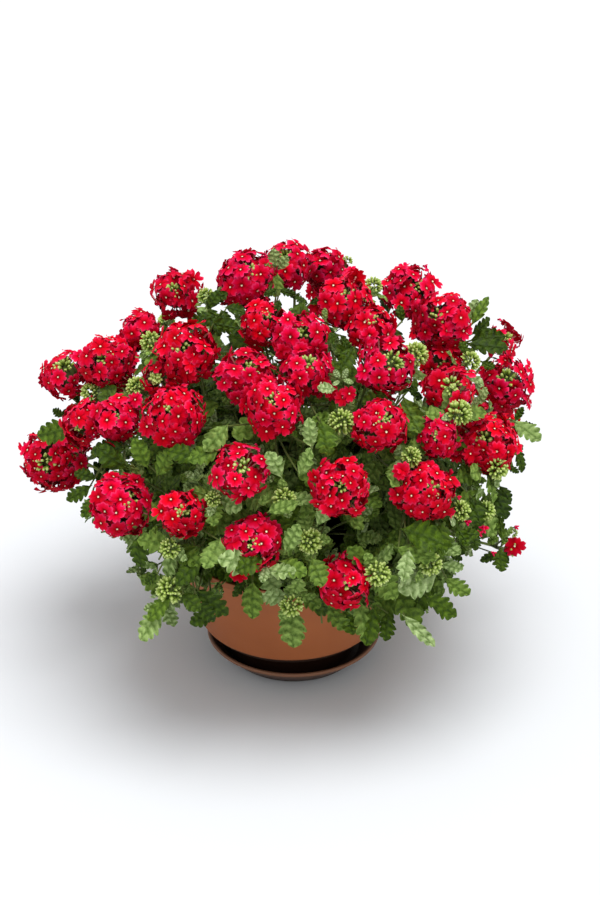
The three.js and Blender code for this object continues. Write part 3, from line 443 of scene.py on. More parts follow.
def stamp(bag, template, place, axes, material, tone):
    """A copy of a template at a place, with its own axes laid along axes, at their lengths. tone gives the
    columns of the tone that are the copy's own."""
    points, faces, tones = template
    tones = tones.copy()
    for column, value in tone.items():
        tones[:, column] = value
    bag.add(place + points @ np.array(axes), [faces], tones, material)


def grid_faces(rows, columns, closed=False):
    """The quads of a grid of corners that is stored row by row. A closed one joins its last column to its
    first."""
    r = np.arange(rows - 1)[:, None]
    c = np.arange(columns if closed else columns - 1)[None, :]
    after = (c + 1) % columns
    here, above = r * columns, (r + 1) * columns
    return np.stack([here + c, here + after, above + after, above + c], -1).reshape(-1, 4)


def circle(sides):
    """The cosines and sines of the corners of a round."""
    angles = 2 * np.pi * np.arange(sides) / sides
    return np.cos(angles), np.sin(angles)


def tube_rings(path, radii, sides):
    """Rings of corners round a path."""
    path = np.asarray(path)
    along = np.gradient(path, axis=0)
    along /= np.linalg.norm(along, axis=1)[:, None]
    side = across(vec(0.3, 0.9, 0.2), along[0])
    cosines, sines = circle(sides)
    rings = []
    for point, direction, radius in zip(path, along, radii):
        side = across(side, direction)
        other = np.cross(direction, side)
        rings.append(point + radius * (np.outer(cosines, side) + np.outer(sines, other)))
    return np.concatenate(rings)


def add_closed(bag, rings, sides, ends, tone, material):
    """Rings of corners that are closed by a fan to each of the two ends."""
    count = len(rings) // sides
    ring = np.arange(sides)
    after = (ring + 1) % sides
    last, tip = (count - 1) * sides, count * sides
    fans = np.concatenate([np.stack([np.full(sides, tip), after, ring], -1),
                           np.stack([np.full(sides, tip + 1), last + ring, last + after], -1)])
    bag.add(np.concatenate([rings, ends]), [grid_faces(count, sides, closed=True), fans], tone, material)


def curve(points, count):
    """A smooth path through points (Catmull-Rom)."""
    p = [np.asarray(point, dtype=float) for point in points]
    p = [2 * p[0] - p[1]] + p + [2 * p[-1] - p[-2]]
    spans = len(p) - 3
    out = []
    for s in np.linspace(0, spans, count):
        k = min(int(s), spans - 1)
        t = s - k
        a, b, c, d = p[k:k + 4]
        out.append(0.5 * (2 * b + (c - a) * t + (2 * a - 5 * b + 4 * c - d) * t * t
                          + (3 * b - a - 3 * c + d) * t ** 3))
    return np.array(out)


# ---------------------------------------------------------------- materials


def new_material(name):
    material = bpy.data.materials.new(name)
    material.use_nodes = True
    return material, material.node_tree


def feed(tree, socket, value):
    """Links a socket to another, or sets it to a number or a colour."""
    if isinstance(value, bpy.types.NodeSocket):
        tree.links.new(value, socket)
    elif isinstance(value, tuple):
        socket.default_value = (*value, 1)
    else:
        socket.default_value = value


def node(tree, kind, inputs, **settings):
    made = tree.nodes.new(kind)
    for key, value in settings.items():
        setattr(made, key, value)
    for key, value in inputs.items():
        feed(tree, made.inputs[key], value)
    return made


def ramp(tree, factor, *stops):
    """Colours along a factor. A stop is its place, red, green and blue."""
    made = node(tree, "ShaderNodeValToRGB", {0: factor})
    elements = made.color_ramp.elements
    while len(elements) < len(stops):
        elements.new(0.5)
    for element, (place, *colour) in zip(elements, stops):
        element.position = place
        element.color = (*colour, 1)
    return made.outputs[0]


def mix(tree, factor, a, b, blend="MIX"):
    made = node(tree, "ShaderNodeMix", {0: factor, 6: a, 7: b}, data_type="RGBA", blend_type=blend)
    return made.outputs[2]


def maths(tree, operation, a, b=0.0, c=None, clamp=False):
    inputs = {0: a, 1: b} if c is None else {0: a, 1: b, 2: c}
    return node(tree, "ShaderNodeMath", inputs, operation=operation, use_clamp=clamp).outputs[0]


def tone_of(tree):
    """The four tone numbers of a surface point."""
    attribute = node(tree, "ShaderNodeAttribute", {}, attribute_name="tone")
    split = node(tree, "ShaderNodeSeparateColor", {0: attribute.outputs["Color"]})
    return *split.outputs[:3], attribute.outputs["Alpha"]


def noise(tree, scale, detail=3.0, rough=0.55):
    coords = node(tree, "ShaderNodeTexCoord", {})
    inputs = {"Vector": coords.outputs["Object"], "Scale": scale, "Detail": detail, "Roughness": rough}
    return node(tree, "ShaderNodeTexNoise", inputs).outputs["Fac"]


def finished(material, colour, roughness, specular, relief=None, sheen=None):
    """A material whose shader has these values. relief is the height, strength and depth of its bumps, and
    sheen its weight and tint."""
    tree = material.node_tree
    inputs = {"Base Color": colour, "Roughness": roughness, "Specular IOR Level": specular}
    if relief:
        bump = {"Height": relief[0], "Strength": relief[1], "Distance": relief[2]}
        inputs["Normal"] = node(tree, "ShaderNodeBump", bump).outputs[0]
    if sheen:
        inputs.update({"Sheen Weight": sheen[0], "Sheen Roughness": 0.4, "Sheen Tint": sheen[1]})
    for key, value in inputs.items():
        feed(tree, tree.nodes["Principled BSDF"].inputs[key], value)
    return material


def petal_material():
    """Tone: along the petal from its eye, light on the floret, crimson share, across the petal."""
    material, tree = new_material("petal_velvet")
    along, light, crimson, sideways = tone_of(tree)
    # The petals are dark crimson round the eye, partly their own colour and partly painted shade where they
    # meet, and paler and pinker at their tips.
    scarlet = ramp(tree, along, (0.0, 0.16, 0.0, 0.001), (0.14, 0.36, 0.0, 0.002), (0.34, 0.80, 0.0, 0.008),
                   (0.75, 0.90, 0.002, 0.024), (1.0, 0.98, 0.040, 0.12))
    pinker = ramp(tree, along, (0.0, 0.14, 0.0, 0.004), (0.14, 0.34, 0.0, 0.010), (0.34, 0.72, 0.0, 0.032),
                  (0.75, 0.84, 0.004, 0.090), (1.0, 0.96, 0.060, 0.24))
    patches = maths(tree, "MULTIPLY_ADD", noise(tree, 90.0), 1.1, -0.45)
    colour = mix(tree, maths(tree, "ADD", crimson, patches, clamp=True), scarlet, pinker)
    # Painted shade: a floret with less light is darkened towards deep crimson.
    colour = mix(tree, maths(tree, "SUBTRACT", 1.0, light, clamp=True), colour, (0.34, 0.0, 0.006))
    ribs = maths(tree, "SINE", maths(tree, "MULTIPLY", sideways, 44.0))
    velvet = maths(tree, "ADD", maths(tree, "MULTIPLY", ribs, 0.35), noise(tree, 1400.0))
    return finished(material, colour, 0.68, 0.04, (velvet, 0.35, 0.0004), (0.10, (1.0, 0.06, 0.16)))


def throat_material():
    """Tone: 0 at the pale eye to 1 at the foot of the tube."""
    material, tree = new_material("throat_cream")
    colour = ramp(tree, tone_of(tree)[0], (0.0, 0.93, 0.86, 0.55), (0.18, 0.86, 0.72, 0.50),
                  (0.3, 0.62, 0.10, 0.12), (0.75, 0.66, 0.22, 0.22), (1.0, 0.36, 0.36, 0.12))
    colour = mix(tree, maths(tree, "MULTIPLY", noise(tree, 700.0), 0.3), colour, (0.75, 0.5, 0.4))
    return finished(material, colour, 0.55, 0.25, (noise(tree, 1800.0), 0.2, 0.0002))


def leaf_material():
    """Tone: a fifth for each lobe passed, across the leaf (0.5 at the midrib), light on the leaf, youth."""
    material, tree = new_material("leaf_hairy_green")
    along, sideways, light, youth = tone_of(tree)
    old = ramp(tree, light, (0.0, 0.032, 0.068, 0.001), (0.35, 0.090, 0.165, 0.004),
               (0.7, 0.18, 0.30, 0.030), (1.0, 0.32, 0.46, 0.125))
    young = ramp(tree, light, (0.0, 0.24, 0.40, 0.030), (0.6, 0.41, 0.58, 0.16), (1.0, 0.60, 0.74, 0.40))
    pale = mix(tree, youth, old, young)
    # Painted shade: the leaf's colour darkened, for its sunken veins and hollows.
    dark = mix(tree, 1.0, pale, (0.17, 0.25, 0.05), "MULTIPLY")
    # The surface is raised between its veins, the midrib and one side vein to each lobe: there it is painted
    # paler as a painted highlight, and the sunken veins keep painted shade.
    from_rib = maths(tree, "ABSOLUTE", maths(tree, "SUBTRACT", sideways, 0.5))
    off_rib = maths(tree, "MULTIPLY", from_rib, 9.0, clamp=True)
    wave = maths(tree, "COSINE", maths(tree, "MULTIPLY", along, 10 * math.pi))
    between_veins = maths(tree, "MULTIPLY_ADD", wave, 0.55, 0.62, clamp=True)
    raised = maths(tree, "MULTIPLY", between_veins, off_rib)
    # Painted highlight and shade: the noise that bumps the surface also makes it paler where raised and
    # darker where sunk.
    patches = maths(tree, "MULTIPLY_ADD", noise(tree, 300.0, 4.0), 3.2, -1.02, clamp=True)
    share = maths(tree, "MULTIPLY_ADD", patches, 0.5, maths(tree, "MULTIPLY", raised, 0.55))
    rough = maths(tree, "MULTIPLY_ADD", patches, 0.15, 0.42)
    relief = maths(tree, "ADD", noise(tree, 300.0, 4.0), maths(tree, "MULTIPLY", raised, 0.8))
    return finished(material, mix(tree, share, dark, pale), rough, 0.18, (relief, 0.9, 0.0016),
                    (0.02, (0.8, 0.95, 0.6)))


def stem_material():
    """Tone: two numbers that it leaves aside, then chance of the stem, youth."""
    material, tree = new_material("stem_hairy_green")
    _, _, luck, youth = tone_of(tree)
    old = mix(tree, luck, (0.035, 0.060, 0.008), (0.085, 0.125, 0.020))
    colour = mix(tree, youth, old, (0.25, 0.33, 0.08))
    colour = mix(tree, maths(tree, "MULTIPLY", noise(tree, 300.0), 0.4), colour, (0.16, 0.17, 0.05))
    return finished(material, colour, 0.65, 0.2, (noise(tree, 1500.0), 0.4, 0.0003), (0.1, (1.0, 1.0, 1.0)))


def bud_material():
    """Tone: along the bud, the light that a red bud's petals take, chance of the bud, youth."""
    material, tree = new_material("bud_green")
    along, _, luck, youth = tone_of(tree)
    green = ramp(tree, along, (0.0, 0.04, 0.08, 0.002), (0.6, 0.21, 0.34, 0.020), (1.0, 0.52, 0.68, 0.12))
    pale = ramp(tree, along, (0.0, 0.07, 0.14, 0.006), (0.6, 0.38, 0.54, 0.07), (1.0, 0.80, 0.90, 0.38))
    colour = mix(tree, maths(tree, "MULTIPLY", luck, youth), green, pale)
    colour = mix(tree, maths(tree, "MULTIPLY", noise(tree, 500.0), 0.3), colour, (0.20, 0.26, 0.10))
    return finished(material, colour, 0.6, 0.3, (noise(tree, 1600.0), 0.4, 0.0003))


def plastic_material():
    """Tone: share of painted shade, share of fading."""
    material, tree = new_material("terracotta_plastic")
    painted_shade, faded, _, _ = tone_of(tree)
    grain = noise(tree, 420.0, 2.0)
    colour = ramp(tree, noise(tree, 9.0), (0.25, 0.28, 0.074, 0.017), (0.55, 0.335, 0.092, 0.022),
                  (0.8, 0.38, 0.112, 0.030))
    colour = mix(tree, maths(tree, "MULTIPLY", grain, 0.12), colour, (0.46, 0.18, 0.09))
    colour = mix(tree, faded, colour, (0.19, 0.105, 0.066))
    # Painted shade: the first tone number darkens the plastic nearly to black, under the bowl's edge and in
    # the saucer.
    colour = mix(tree, painted_shade, colour, (0.010, 0.004, 0.002))
    rough = maths(tree, "MULTIPLY_ADD", grain, 0.2, 0.42)
    return finished(material, colour, rough, 0.3, (grain, 0.12, 0.0004))


def soil_material():
    material, tree = new_material("potting_soil")
    crumbs = noise(tree, 260.0, 6.0, 0.7)
    colour = ramp(tree, crumbs, (0.3, 0.006, 0.004, 0.003), (0.55, 0.020, 0.012, 0.008),
                  (0.75, 0.055, 0.034, 0.020))
    return finished(material, colour, 0.95, 0.15, (crumbs, 1.0, 0.003))


PETAL, THROAT, LEAF, STEM, BUD = (petal_material(), throat_material(), leaf_material(), stem_material(),
                                  bud_material())
BLOOM_LOOKS = [PETAL, THROAT, STEM, BUD]
GREEN_LOOKS = [LEAF, STEM, BUD, PETAL, THROAT]

# ---------------------------------------------------------------- florets and heads

PETAL_GRID = 5
THROAT_RADIUS = 0.08
FLORET_RADIUS = 10.9


def floret_template(rng):
    """Five notched petals round a throat, facing +z, for a floret of radius 1."""
    a = np.linspace(0, 1, PETAL_GRID)[:, None]
    t = np.linspace(-1, 1, PETAL_GRID)[None, :]
    points = []
    for k in range(5):
        notch = rng.uniform(0.17, 0.30)
        reach = rng.uniform(0.9, 1.06) * (1 - notch * np.exp(-(t / 0.32) ** 2) - 0.24 * t ** 4)
        radial = THROAT_RADIUS + (reach - THROAT_RADIUS) * a
        spread = np.sin(0.5 * np.pi * np.clip(a / 0.85, 0, 1)) ** 1.25
        wide = rng.uniform(0.37, 0.47) * (0.17 + 0.83 * spread)
        droop = rng.uniform(-0.12, 0.42)
        cup = rng.uniform(-0.22, 0.18)
        wave = rng.uniform(-0.12, 0.12)
        height = (-0.10 * (1 - a) ** 3 - droop * a ** 2 + cup * t ** 2 * a
                  + wave * np.sin(3 * t + 4 * a) * a + rng.uniform(-0.02, 0.05) * a)
        angle = 2 * math.pi * k / 5 + rng.uniform(-0.06, 0.06)
        x = radial * math.cos(angle) - t * wide * math.sin(angle)
        y = radial * math.sin(angle) + t * wide * math.cos(angle)
        points.append(np.stack([x, y, height], -1).reshape(-1, 3))
    quads = grid_faces(PETAL_GRID, PETAL_GRID)
    quads = np.concatenate([quads + PETAL_GRID ** 2 * k for k in range(5)])
    tone = np.stack(np.broadcast_arrays(a, 0, 0, 0.5 + 0.5 * t), -1).reshape(-1, 4)
    return np.concatenate(points), quads, np.tile(tone, (5, 1))


def eye_template(sides=6):
    """The small pale cup at the mouth of a floret's tube."""
    cosines, sines = circle(sides)
    rim = np.stack([0.092 * cosines, 0.092 * sines, np.full(sides, -0.045)], -1)
    ring = np.arange(sides)
    fan = np.stack([np.full(sides, sides), ring, (ring + 1) % sides], -1)
    tone = np.zeros((sides + 1, 4))
    tone[:sides, 0] = 0.12
    return np.concatenate([rim, [(0, 0, -0.11)]]), fan, tone


def bud_template(rng, sides=4):
    """A plump blunt bud of length 1 along +z."""
    heights = np.array([0, 0.3, 0.75, 1.0])
    radii = np.array([0.12, 0.20, 0.235, 0.05]) * rng.uniform(0.9, 1.1)
    rings = tube_rings(np.stack([0.06 * heights ** 2, 0 * heights, heights], -1), radii, sides)
    tone = np.zeros((len(rings), 4))
    tone[:, 0] = np.repeat(heights, sides)
    return rings, grid_faces(4, sides, closed=True), tone


template_chance = np.random.default_rng(SEEDS["templates"])
FLORETS = [floret_template(template_chance) for _ in range(16)]
BUDS = [bud_template(template_chance) for _ in range(6)]
EYE_CUP = eye_template()


def axes_of(normal, spin):
    side = around(normal, spin)
    return np.array([side, np.cross(normal, side), normal])


def add_floret(bag, rng, place, normal, radius, foot, crimson, dark):
    """A floret with its eye, and its tube down to foot. crimson is its share of crimson, and dark its share
    of painted shade.
    """
    template = FLORETS[rng.integers(len(FLORETS))]
    axes = radius * axes_of(normal, rng.uniform(0, 2 * math.pi))
    light = rng.uniform(0.45, 1.0) * (1 - dark)
    stamp(bag, template, place, axes, PETAL, {1: light, 2: crimson + rng.uniform(-0.25, 0.25)})
    stamp(bag, EYE_CUP, place, axes, THROAT, {})
    middle = place * 0.45 + foot * 0.55 - normal * 0.8
    path = curve([place - normal * 0.12 * radius, middle, foot], 4)
    tone = np.zeros((20, 4))
    tone[:, 0] = np.repeat([0.55, 0.7, 0.85, 1.0], 5)
    rings = tube_rings(path, [0.85, 0.75, 0.65, 0.6], 5)
    bag.add(rings, [grid_faces(4, 5, closed=True)], tone, THROAT)


def add_buds(bag, rng, centre, axis, radius, count, spread, youth, length, look=BUD):
    """Buds that radiate from a centre, up to spread degrees from the axis."""
    top = math.cos(math.radians(spread))
    for k in range(count):
        high = 1 - (1 - top) * (k + 0.5) / count
        turn = GOLDEN * k + rng.uniform(-0.3, 0.3)
        flat = math.sqrt(max(1 - high * high, 0))
        out = unit(axis * high + flat * around(axis, turn) + rng.normal(0, 0.08, 3))
        template = BUDS[rng.integers(len(BUDS))]
        long = length * rng.uniform(0.8, 1.15)
        x, y, z = axes_of(out, rng.uniform(0, 6.28))
        thick = long * rng.uniform(0.85, 1.15)
        stamp(bag, template, centre + out * (radius - long), [thick * x, thick * y, long * z], look,
              {1: 0.85, 2: rng.uniform(0.2, 1.0), 3: youth})


def add_core(bag, centre, radius, rows=9, sides=12):
    """The crowded calyces inside a dense head, as a dark knobbly ball."""
    polar = np.pi * (np.arange(rows, 0, -1)[:, None] - 0.5) / rows
    cosines, sines = circle(sides)
    turn = 2 * np.pi * np.arange(sides) / sides
    wide = (1 + 0.12 * np.sin(5 * turn + 3 * polar) * np.sin(polar)) * np.sin(polar)
    ball = np.stack(np.broadcast_arrays(wide * cosines, wide * sines, np.cos(polar)), -1).reshape(-1, 3)
    ends = [centre - SKY * radius, centre + SKY * radius]
    add_closed(bag, centre + radius * ball, sides, ends, (0, 0, 0, 0), STEM)


# How some heads differ from a full ball: the share of their florets, and the size of their green middle.
LOOSE = {0: (0.8, 0.36), 4: (1.0, 0.25), 7: (0.88, 0.2), 10: (0.6, 0.4), 14: (0.9, 0.28),
         15: (0.9, 0.08), 20: (0.62, 0.2), 26: (0.8, 0.3), 27: (0.9, 0.32), 28: (0.55, 0.1),
         29: (0.7, 0.3), 30: (0.95, 0.42), 34: (0.9, 0.2)}
FULL = (1.0, 0.10)
# A head that is drawn in, as its share of the solid's radius.
DRAWN_IN = {22: 0.8}
# A head under this radius is down to its last open floret.
LAST_HEAD = 14
# The layers of florets: their share of the count, their depth as a share of the radius, and their shade.
LAYERS = [(1.0, 0.95, 0.0), (0.45, 0.80, 0.3)]
# The lowest florets stand this many degrees from the middle of the head.
LOWEST_FLORETS = 138


def add_last_floret(bag, rng, centre, axis, radius):
    """The last open floret of a head, with smaller ones and green buds behind it."""
    foot = centre - axis * 0.8 * radius
    add_floret(bag, rng, centre + axis * 0.35 * radius, unit(axis + NEAR), 0.86 * radius, foot, 0.1, 0.5)
    for turn in (0.5, 2.3, 4.4):
        out = unit(RIGHT * math.cos(turn) + UP * math.sin(turn) - 0.6 * axis)
        add_floret(bag, rng, centre + out * 0.45 * radius, out, 0.5 * radius, foot, 0.3, 0.6)
    add_buds(bag, rng, centre - axis * 0.3 * radius, axis, 0.7 * radius, 12, 120, 0.6, 6.0)


def dress_head(bag, head, index, rng):
    """Florets all over a ball, and the green buds in its middle."""
    centre, axis, radius = head["centre"], head["axis"], head["radius"] * DRAWN_IN.get(index, 1)
    if radius < LAST_HEAD:
        add_last_floret(bag, rng, centre, axis, radius)
        return
    fullness, middle = LOOSE.get(index, FULL)
    small = min(FLORET_RADIUS, 0.5 * radius)
    high, low = math.cos(math.asin(min(middle + 0.10, 0.95))), math.cos(math.radians(LOWEST_FLORETS))
    area = 2 * math.pi * radius ** 2 * (high - low)
    count = max(4, round(fullness * area / (2.6 * small ** 2)))
    crimson = rng.uniform(0.0, 0.5)
    foot = centre - axis * 0.30 * radius
    for layer, (share, depth, dark) in enumerate(LAYERS):
        n = max(3, round(count * share))
        for k in range(n):
            z = high + (low - high) * (k + 0.5) / n
            turn = head["spin"] + GOLDEN * k + 1.3 * layer + rng.uniform(-0.14, 0.14)
            out = axis * z * FLATNESS + math.sqrt(1 - z * z) * around(axis, turn)
            reach = depth * radius * rng.uniform(0.88, 1.02)
            normal = unit(unit(out) + 0.1 * axis + rng.normal(0, 0.32, 3))
            size = small * rng.uniform(0.8, 1.06)
            # Painted shade: florets low on the head, and those of the inner layer, are darker.
            shade = min(0.9, dark + np.clip(0.15 - unit(out)[2], 0, 1) * 0.9)
            start = foot + unit(out) * 0.22 * radius
            add_floret(bag, rng, centre + out * reach, normal, size, start, crimson, shade)
    add_buds(bag, rng, centre + axis * 0.32 * radius, axis, (0.46 + 0.1 * middle) * radius,
             round(9 + 30 * middle), 34 + 75 * middle, 1.0, 7.5)
    add_buds(bag, rng, foot, axis, 0.48 * radius, round(0.5 * count), 120, 0.2, 8.0)
    if fullness > 0.7:
        add_core(bag, centre - axis * 0.08 * radius, 0.52 * radius)


# ---------------------------------------------------------------- leaves

LEAF_STALK = 0.14
SHOWN_BLADE = dict(lobes=4, phases=(0.0, 0.12, 0.38, 0.5, 0.62, 0.88),
                   columns=(-1, -0.72, -0.38, 0, 0.38, 0.72, 1))
INNER_BLADE = dict(lobes=4, phases=(0.0, 0.25, 0.5, 0.75), columns=(-1, -0.55, 0, 0.55, 1))
YOUNG_BLADE = dict(lobes=3, phases=(0.0, 0.3, 0.7), columns=(-1, 0, 1))


def leaf_template(rng, lobes, phases, columns):
    """A leaf of length 1 along +x that faces +z: a broad blunt blade with round lobes, raised between its
    veins."""
    steps = np.array([k + phase for k in range(lobes) for phase in phases] + [lobes])
    blade = LEAF_STALK + (1 - LEAF_STALK) * (steps / lobes) ** rng.uniform(0.85, 1.05)
    v = np.concatenate([[0, 0.07], blade])[:, None]
    c = np.array(columns)[None, :]
    phase = np.clip(np.concatenate([[0, 0], steps]), 0, lobes)[:, None]
    half = 0.56 * LEAF_WIDTH * np.sin(np.pi * np.clip(v, 0.0, 0.999) ** 0.95) ** 0.58
    half = np.maximum(half * np.clip((v - 0.04) / 0.16, 0, 1) ** 0.8, 0.014)
    # The lobes of one side stand half a lobe ahead of the other side's.
    ahead = phase + np.where(c < 0, 0.5, 0.0)
    own = rng.uniform(0.72, 1.15, (2, lobes + 2))
    reach = np.where(c < 0, own[0][ahead.astype(int)], own[1][ahead.astype(int)])
    depth = rng.uniform(0.30, 0.46)
    lobe = np.abs(np.sin(np.pi * (ahead % 1))) ** 0.5
    jag = np.where(v < LEAF_STALK - 0.01, 0.7, 1.0 - depth + depth * lobe * reach)
    edge = half * (1 + (jag - 1) * np.abs(c) ** 1.8) * rng.uniform(0.88, 1.15)
    slant = (0.20 + 0.30 * lobe) * np.abs(c) ** 1.3 * half
    bend = rng.uniform(-0.12, 0.12)
    x = v + slant * (1 - v ** 3)
    y = c * edge
    fold, droop = rng.uniform(0.02, 0.26), rng.uniform(0.05, 0.36)
    quilt = 0.036 * np.cos(2 * np.pi * ahead) * np.sin(np.pi * np.abs(c)) ** 0.8 * np.clip(half / 0.2, 0, 1)
    curl = np.where(c < 0, 1, -1) * rng.uniform(-0.05, 0.05)
    curl = curl + 0.06 * np.sin(ahead * 1.9 + rng.uniform(0, 6))
    z = fold * np.abs(y) - droop * x ** 2 + quilt + curl * c ** 2 * half / 0.26
    tone = np.stack(np.broadcast_arrays(ahead / 5, 0.5 + 0.5 * c, 0, 0), -1).reshape(-1, 4)
    points = np.stack([x, y + bend * x ** 2, z], -1).reshape(-1, 3)
    points[:, 0] /= points[:, 0].max()
    return points, grid_faces(v.size, c.size), tone


SHOWN_LEAVES = [leaf_template(template_chance, **SHOWN_BLADE) for _ in range(20)]
INNER_LEAVES = [leaf_template(template_chance, **INNER_BLADE) for _ in range(20)]
YOUNG_LEAVES = [leaf_template(template_chance, **YOUNG_BLADE) for _ in range(8)]


def add_leaf(bag, rng, shapes, root, along, face, length, light, youth, breadth=1.0):
    template = shapes[rng.integers(len(shapes))]
    face = across(face, along)
    wide = breadth * rng.uniform(0.92, 1.15)
    axes = length * np.array([along, wide * np.cross(face, along), face])
    stamp(bag, template, root, axes, LEAF, {2: light, 3: youth})


def add_tuft(bag, rng, tip, way, turn):
    """The young leaves at the end of a side stem."""
    for k in range(4):
        out = around(way, turn + math.pi / 2 * k)
        along, face = unit(way + 0.55 * out), unit(way - 0.8 * out)
        length, light = rng.uniform(11, 19), rng.uniform(0.4, 1)
        add_leaf(bag, rng, YOUNG_LEAVES, tip, along, face, length, light, 0.75)


# The edge of the foliage in the front view, and the places between the heads where the backdrop shows:
# (across, up, radius).
FOLIAGE_EDGE = [
    (-228, 245), (-205, 262), (-150, 300), (-110, 318), (-72, 338), (-40, 330), (0, 345), (40, 335),
    (95, 262), (150, 250), (190, 252), (226, 232), (232, 200), (222, 172), (220, 150), (220, 128),
    (208, 120), (196, 108), (184, 102), (170, 96), (160, 92), (166, 80), (172, 68), (168, 54), (160, 40),
    (148, 28), (124, 34), (110, 28), (90, 22), (54, 20), (34, 34), (14, 40), (0, 52), (-26, 58),
    (-50, 60), (-66, 56), (-80, 44), (-92, 36), (-100, 42), (-114, 34), (-130, 42), (-148, 60),
    (-130, 66), (-140, 76), (-152, 74), (-160, 90), (-168, 106), (-192, 124), (-204, 132), (-222, 146),
    (-224, 168), (-226, 205)]
SHOWN_BACKDROP = [(16, 336, 9), (46, 293, 7), (62, 289, 7), (118, 315, 8), (127, 255, 8), (172, 293, 7),
                  (-59.5, 55, 5), (-72.5, 66, 3), (-133, 79, 8), (-134, 92, 4), (46, 118, 9), (-11, 152, 3)]
# Half the width of a leaf, which keeps that far from the backdrop's gaps.
LEAF_ROOM = 7
# What stands out past the edge is shortened to one of these shares. If none will do, a leaf is shortened to
# the least share.
SHARES = (1.0, 0.85, 0.7, 0.55)
LEAST_SHARE = 0.42


def inside_edge(x, up):
    inside = False
    for (x0, y0), (x1, y1) in zip(FOLIAGE_EDGE, FOLIAGE_EDGE[1:] + FOLIAGE_EDGE[:1]):
        if (y0 > up) != (y1 > up) and x < x0 + (x1 - x0) * (up - y0) / (y1 - y0):
            inside = not inside
    return inside


def is_kept(root, tip):
    """Whether a leaf shows within the foliage and leaves the backdrop's gaps open."""
    (x0, y0), (x1, y1) = seen_at(root), seen_at(tip)
    return inside_edge(x1, y1) and all(
        math.hypot(x0 + (x1 - x0) * share - x, y0 + (y1 - y0) * share - y) >= radius + LEAF_ROOM
        for x, y, radius in SHOWN_BACKDROP for share in (0, 0.5, 1))


def add_own_leaf(bag, rng, root, along, face, length, lights, most_youth):
    """A leaf that the solid has too, shorter, and darker with painted shade, where it would stand out past
    the foliage.
    """
    share = next((s for s in SHARES if inside_edge(*seen_at(root + along * s * length))), LEAST_SHARE)
    light = rng.uniform(*lights) * (1.0 if share == 1.0 else 0.3)
    youth = rng.uniform(0, most_youth)
    add_leaf(bag, rng, SHOWN_LEAVES, root, along, face, share * length, light, youth)


# ---------------------------------------------------------------- stems and shoots


def add_stem(bag, rng, path, radii, youth, sides=6):
    """A stem with pointed ends, whose thickness changes evenly through radii."""
    thick = np.interp(np.linspace(0, 1, len(path)), np.linspace(0, 1, len(radii)), radii)
    tone = (0, 0, rng.uniform(0, 1), youth)
    add_closed(bag, tube_rings(path, thick, sides), sides, [path[0], path[-1]], tone, STEM)


def nearest_on(lines, target):
    """The point on some straight lines that is nearest to a target."""
    points = [a + (b - a) * np.clip((target - a).dot(b - a) / (b - a).dot(b - a), 0, 1) for a, b in lines]
    return min(points, key=lambda point: np.linalg.norm(point - target))


def add_stalk(bag, rng, bearers, target, over, end, radii, youth, sides=6):
    """A stem to end that sags half-way to over. It starts on the bearer that is nearest to target."""
    start = nearest_on(bearers, target)
    add_stem(bag, rng, curve([start, 0.5 * (start + over) - SKY * SAG, end], 7), radii, youth, sides)


def stem_lines(heads):
    """The middle lines of a shoot, as in the solids."""
    spread = np.mean([h["centre"] for h in heads], axis=0) * ROOT_SPREAD
    root = vec(spread[0], spread[1], SOIL_TOP - STEM_DEPTH)
    collar = vec(spread[0], spread[1], SOIL_TOP + COLLAR)
    carried = [h for h in heads if not h["joined"]]
    knees = [h["centre"] - h["axis"] * KNEE * h["radius"] for h in carried]
    fork = collar + (np.mean(knees, axis=0) - collar) * FORK_SHARE
    return root, collar, fork, knees, carried


def side_line(collar, fork, direction):
    """The middle line of a side stem, as in the solids, but drawn in where it would stand out past the
    foliage."""
    start = collar + (fork - collar) * SIDE_STEM["start"]
    tip = outward(*direction) * MOUND_REACH * SIDE_STEM["end"] + MOUND_CENTRE
    arch = SIDE_STEM["over_rim"] if direction[1] < 0 else SIDE_STEM["arch"]
    middle = start + (tip - start) * SIDE_STEM["bend"] + SKY * arch
    ends = [middle + (tip - middle) * share for share in SHARES]
    return start, middle, next((end for end in ends if inside_edge(*seen_at(end))), ends[-1])


def add_shown_leaf(bag, rng, bearers, x, up, towards, length, tilt, back, light, youth, breadth=1.0):
    """A leaf that the photo shows, on its stalk."""
    root = in_front_view(x, up, back)
    turn, lift = math.radians(towards), math.radians(tilt)
    along = (RIGHT * math.cos(turn) + UP * math.sin(turn)) * math.cos(lift) + NEAR * math.sin(lift)
    face = unit(NEAR + rng.normal(0, 0.15, 3))
    add_leaf(bag, rng, SHOWN_LEAVES, root, along, face, 0.94 * length, light, youth, breadth)
    end = root + along * 0.1 * length
    add_stalk(bag, rng, bearers, root - along * 0.6 * length, root, end, (1.1, 0.8), 0.1)


def add_red_buds(bag, rng, bearers, x, up, radius, back):
    """A few closed buds with red petals on a stalk."""
    centre = in_front_view(x, up, back)
    out = face_of_mound(centre)
    foot = centre - out * 0.5 * radius
    add_buds(bag, rng, foot, unit(out + NEAR), 1.3 * radius, 5, 60, 0.5, 1.5 * radius, PETAL)
    add_stalk(bag, rng, bearers, centre - out * 40, centre, foot, (0.8, 0.8), 0.2, sides=4)


def add_strays(bag, rng, bearers, x, up, spread, back, count, shade):
    """A few florets by themselves on a stalk."""
    centre = in_front_view(x, up, back)
    out = face_of_mound(centre)
    foot = centre - out * 14
    for _ in range(count):
        place = centre + rng.uniform(-1, 1, 3) * spread
        normal = unit(out + NEAR + rng.normal(0, 0.3, 3))
        add_floret(bag, rng, place, normal, rng.uniform(6.5, 9.5), foot, rng.uniform(0, 0.5), shade)
    add_stalk(bag, rng, bearers, foot - out * 30, foot, foot, (0.9, 0.9), 0.2)


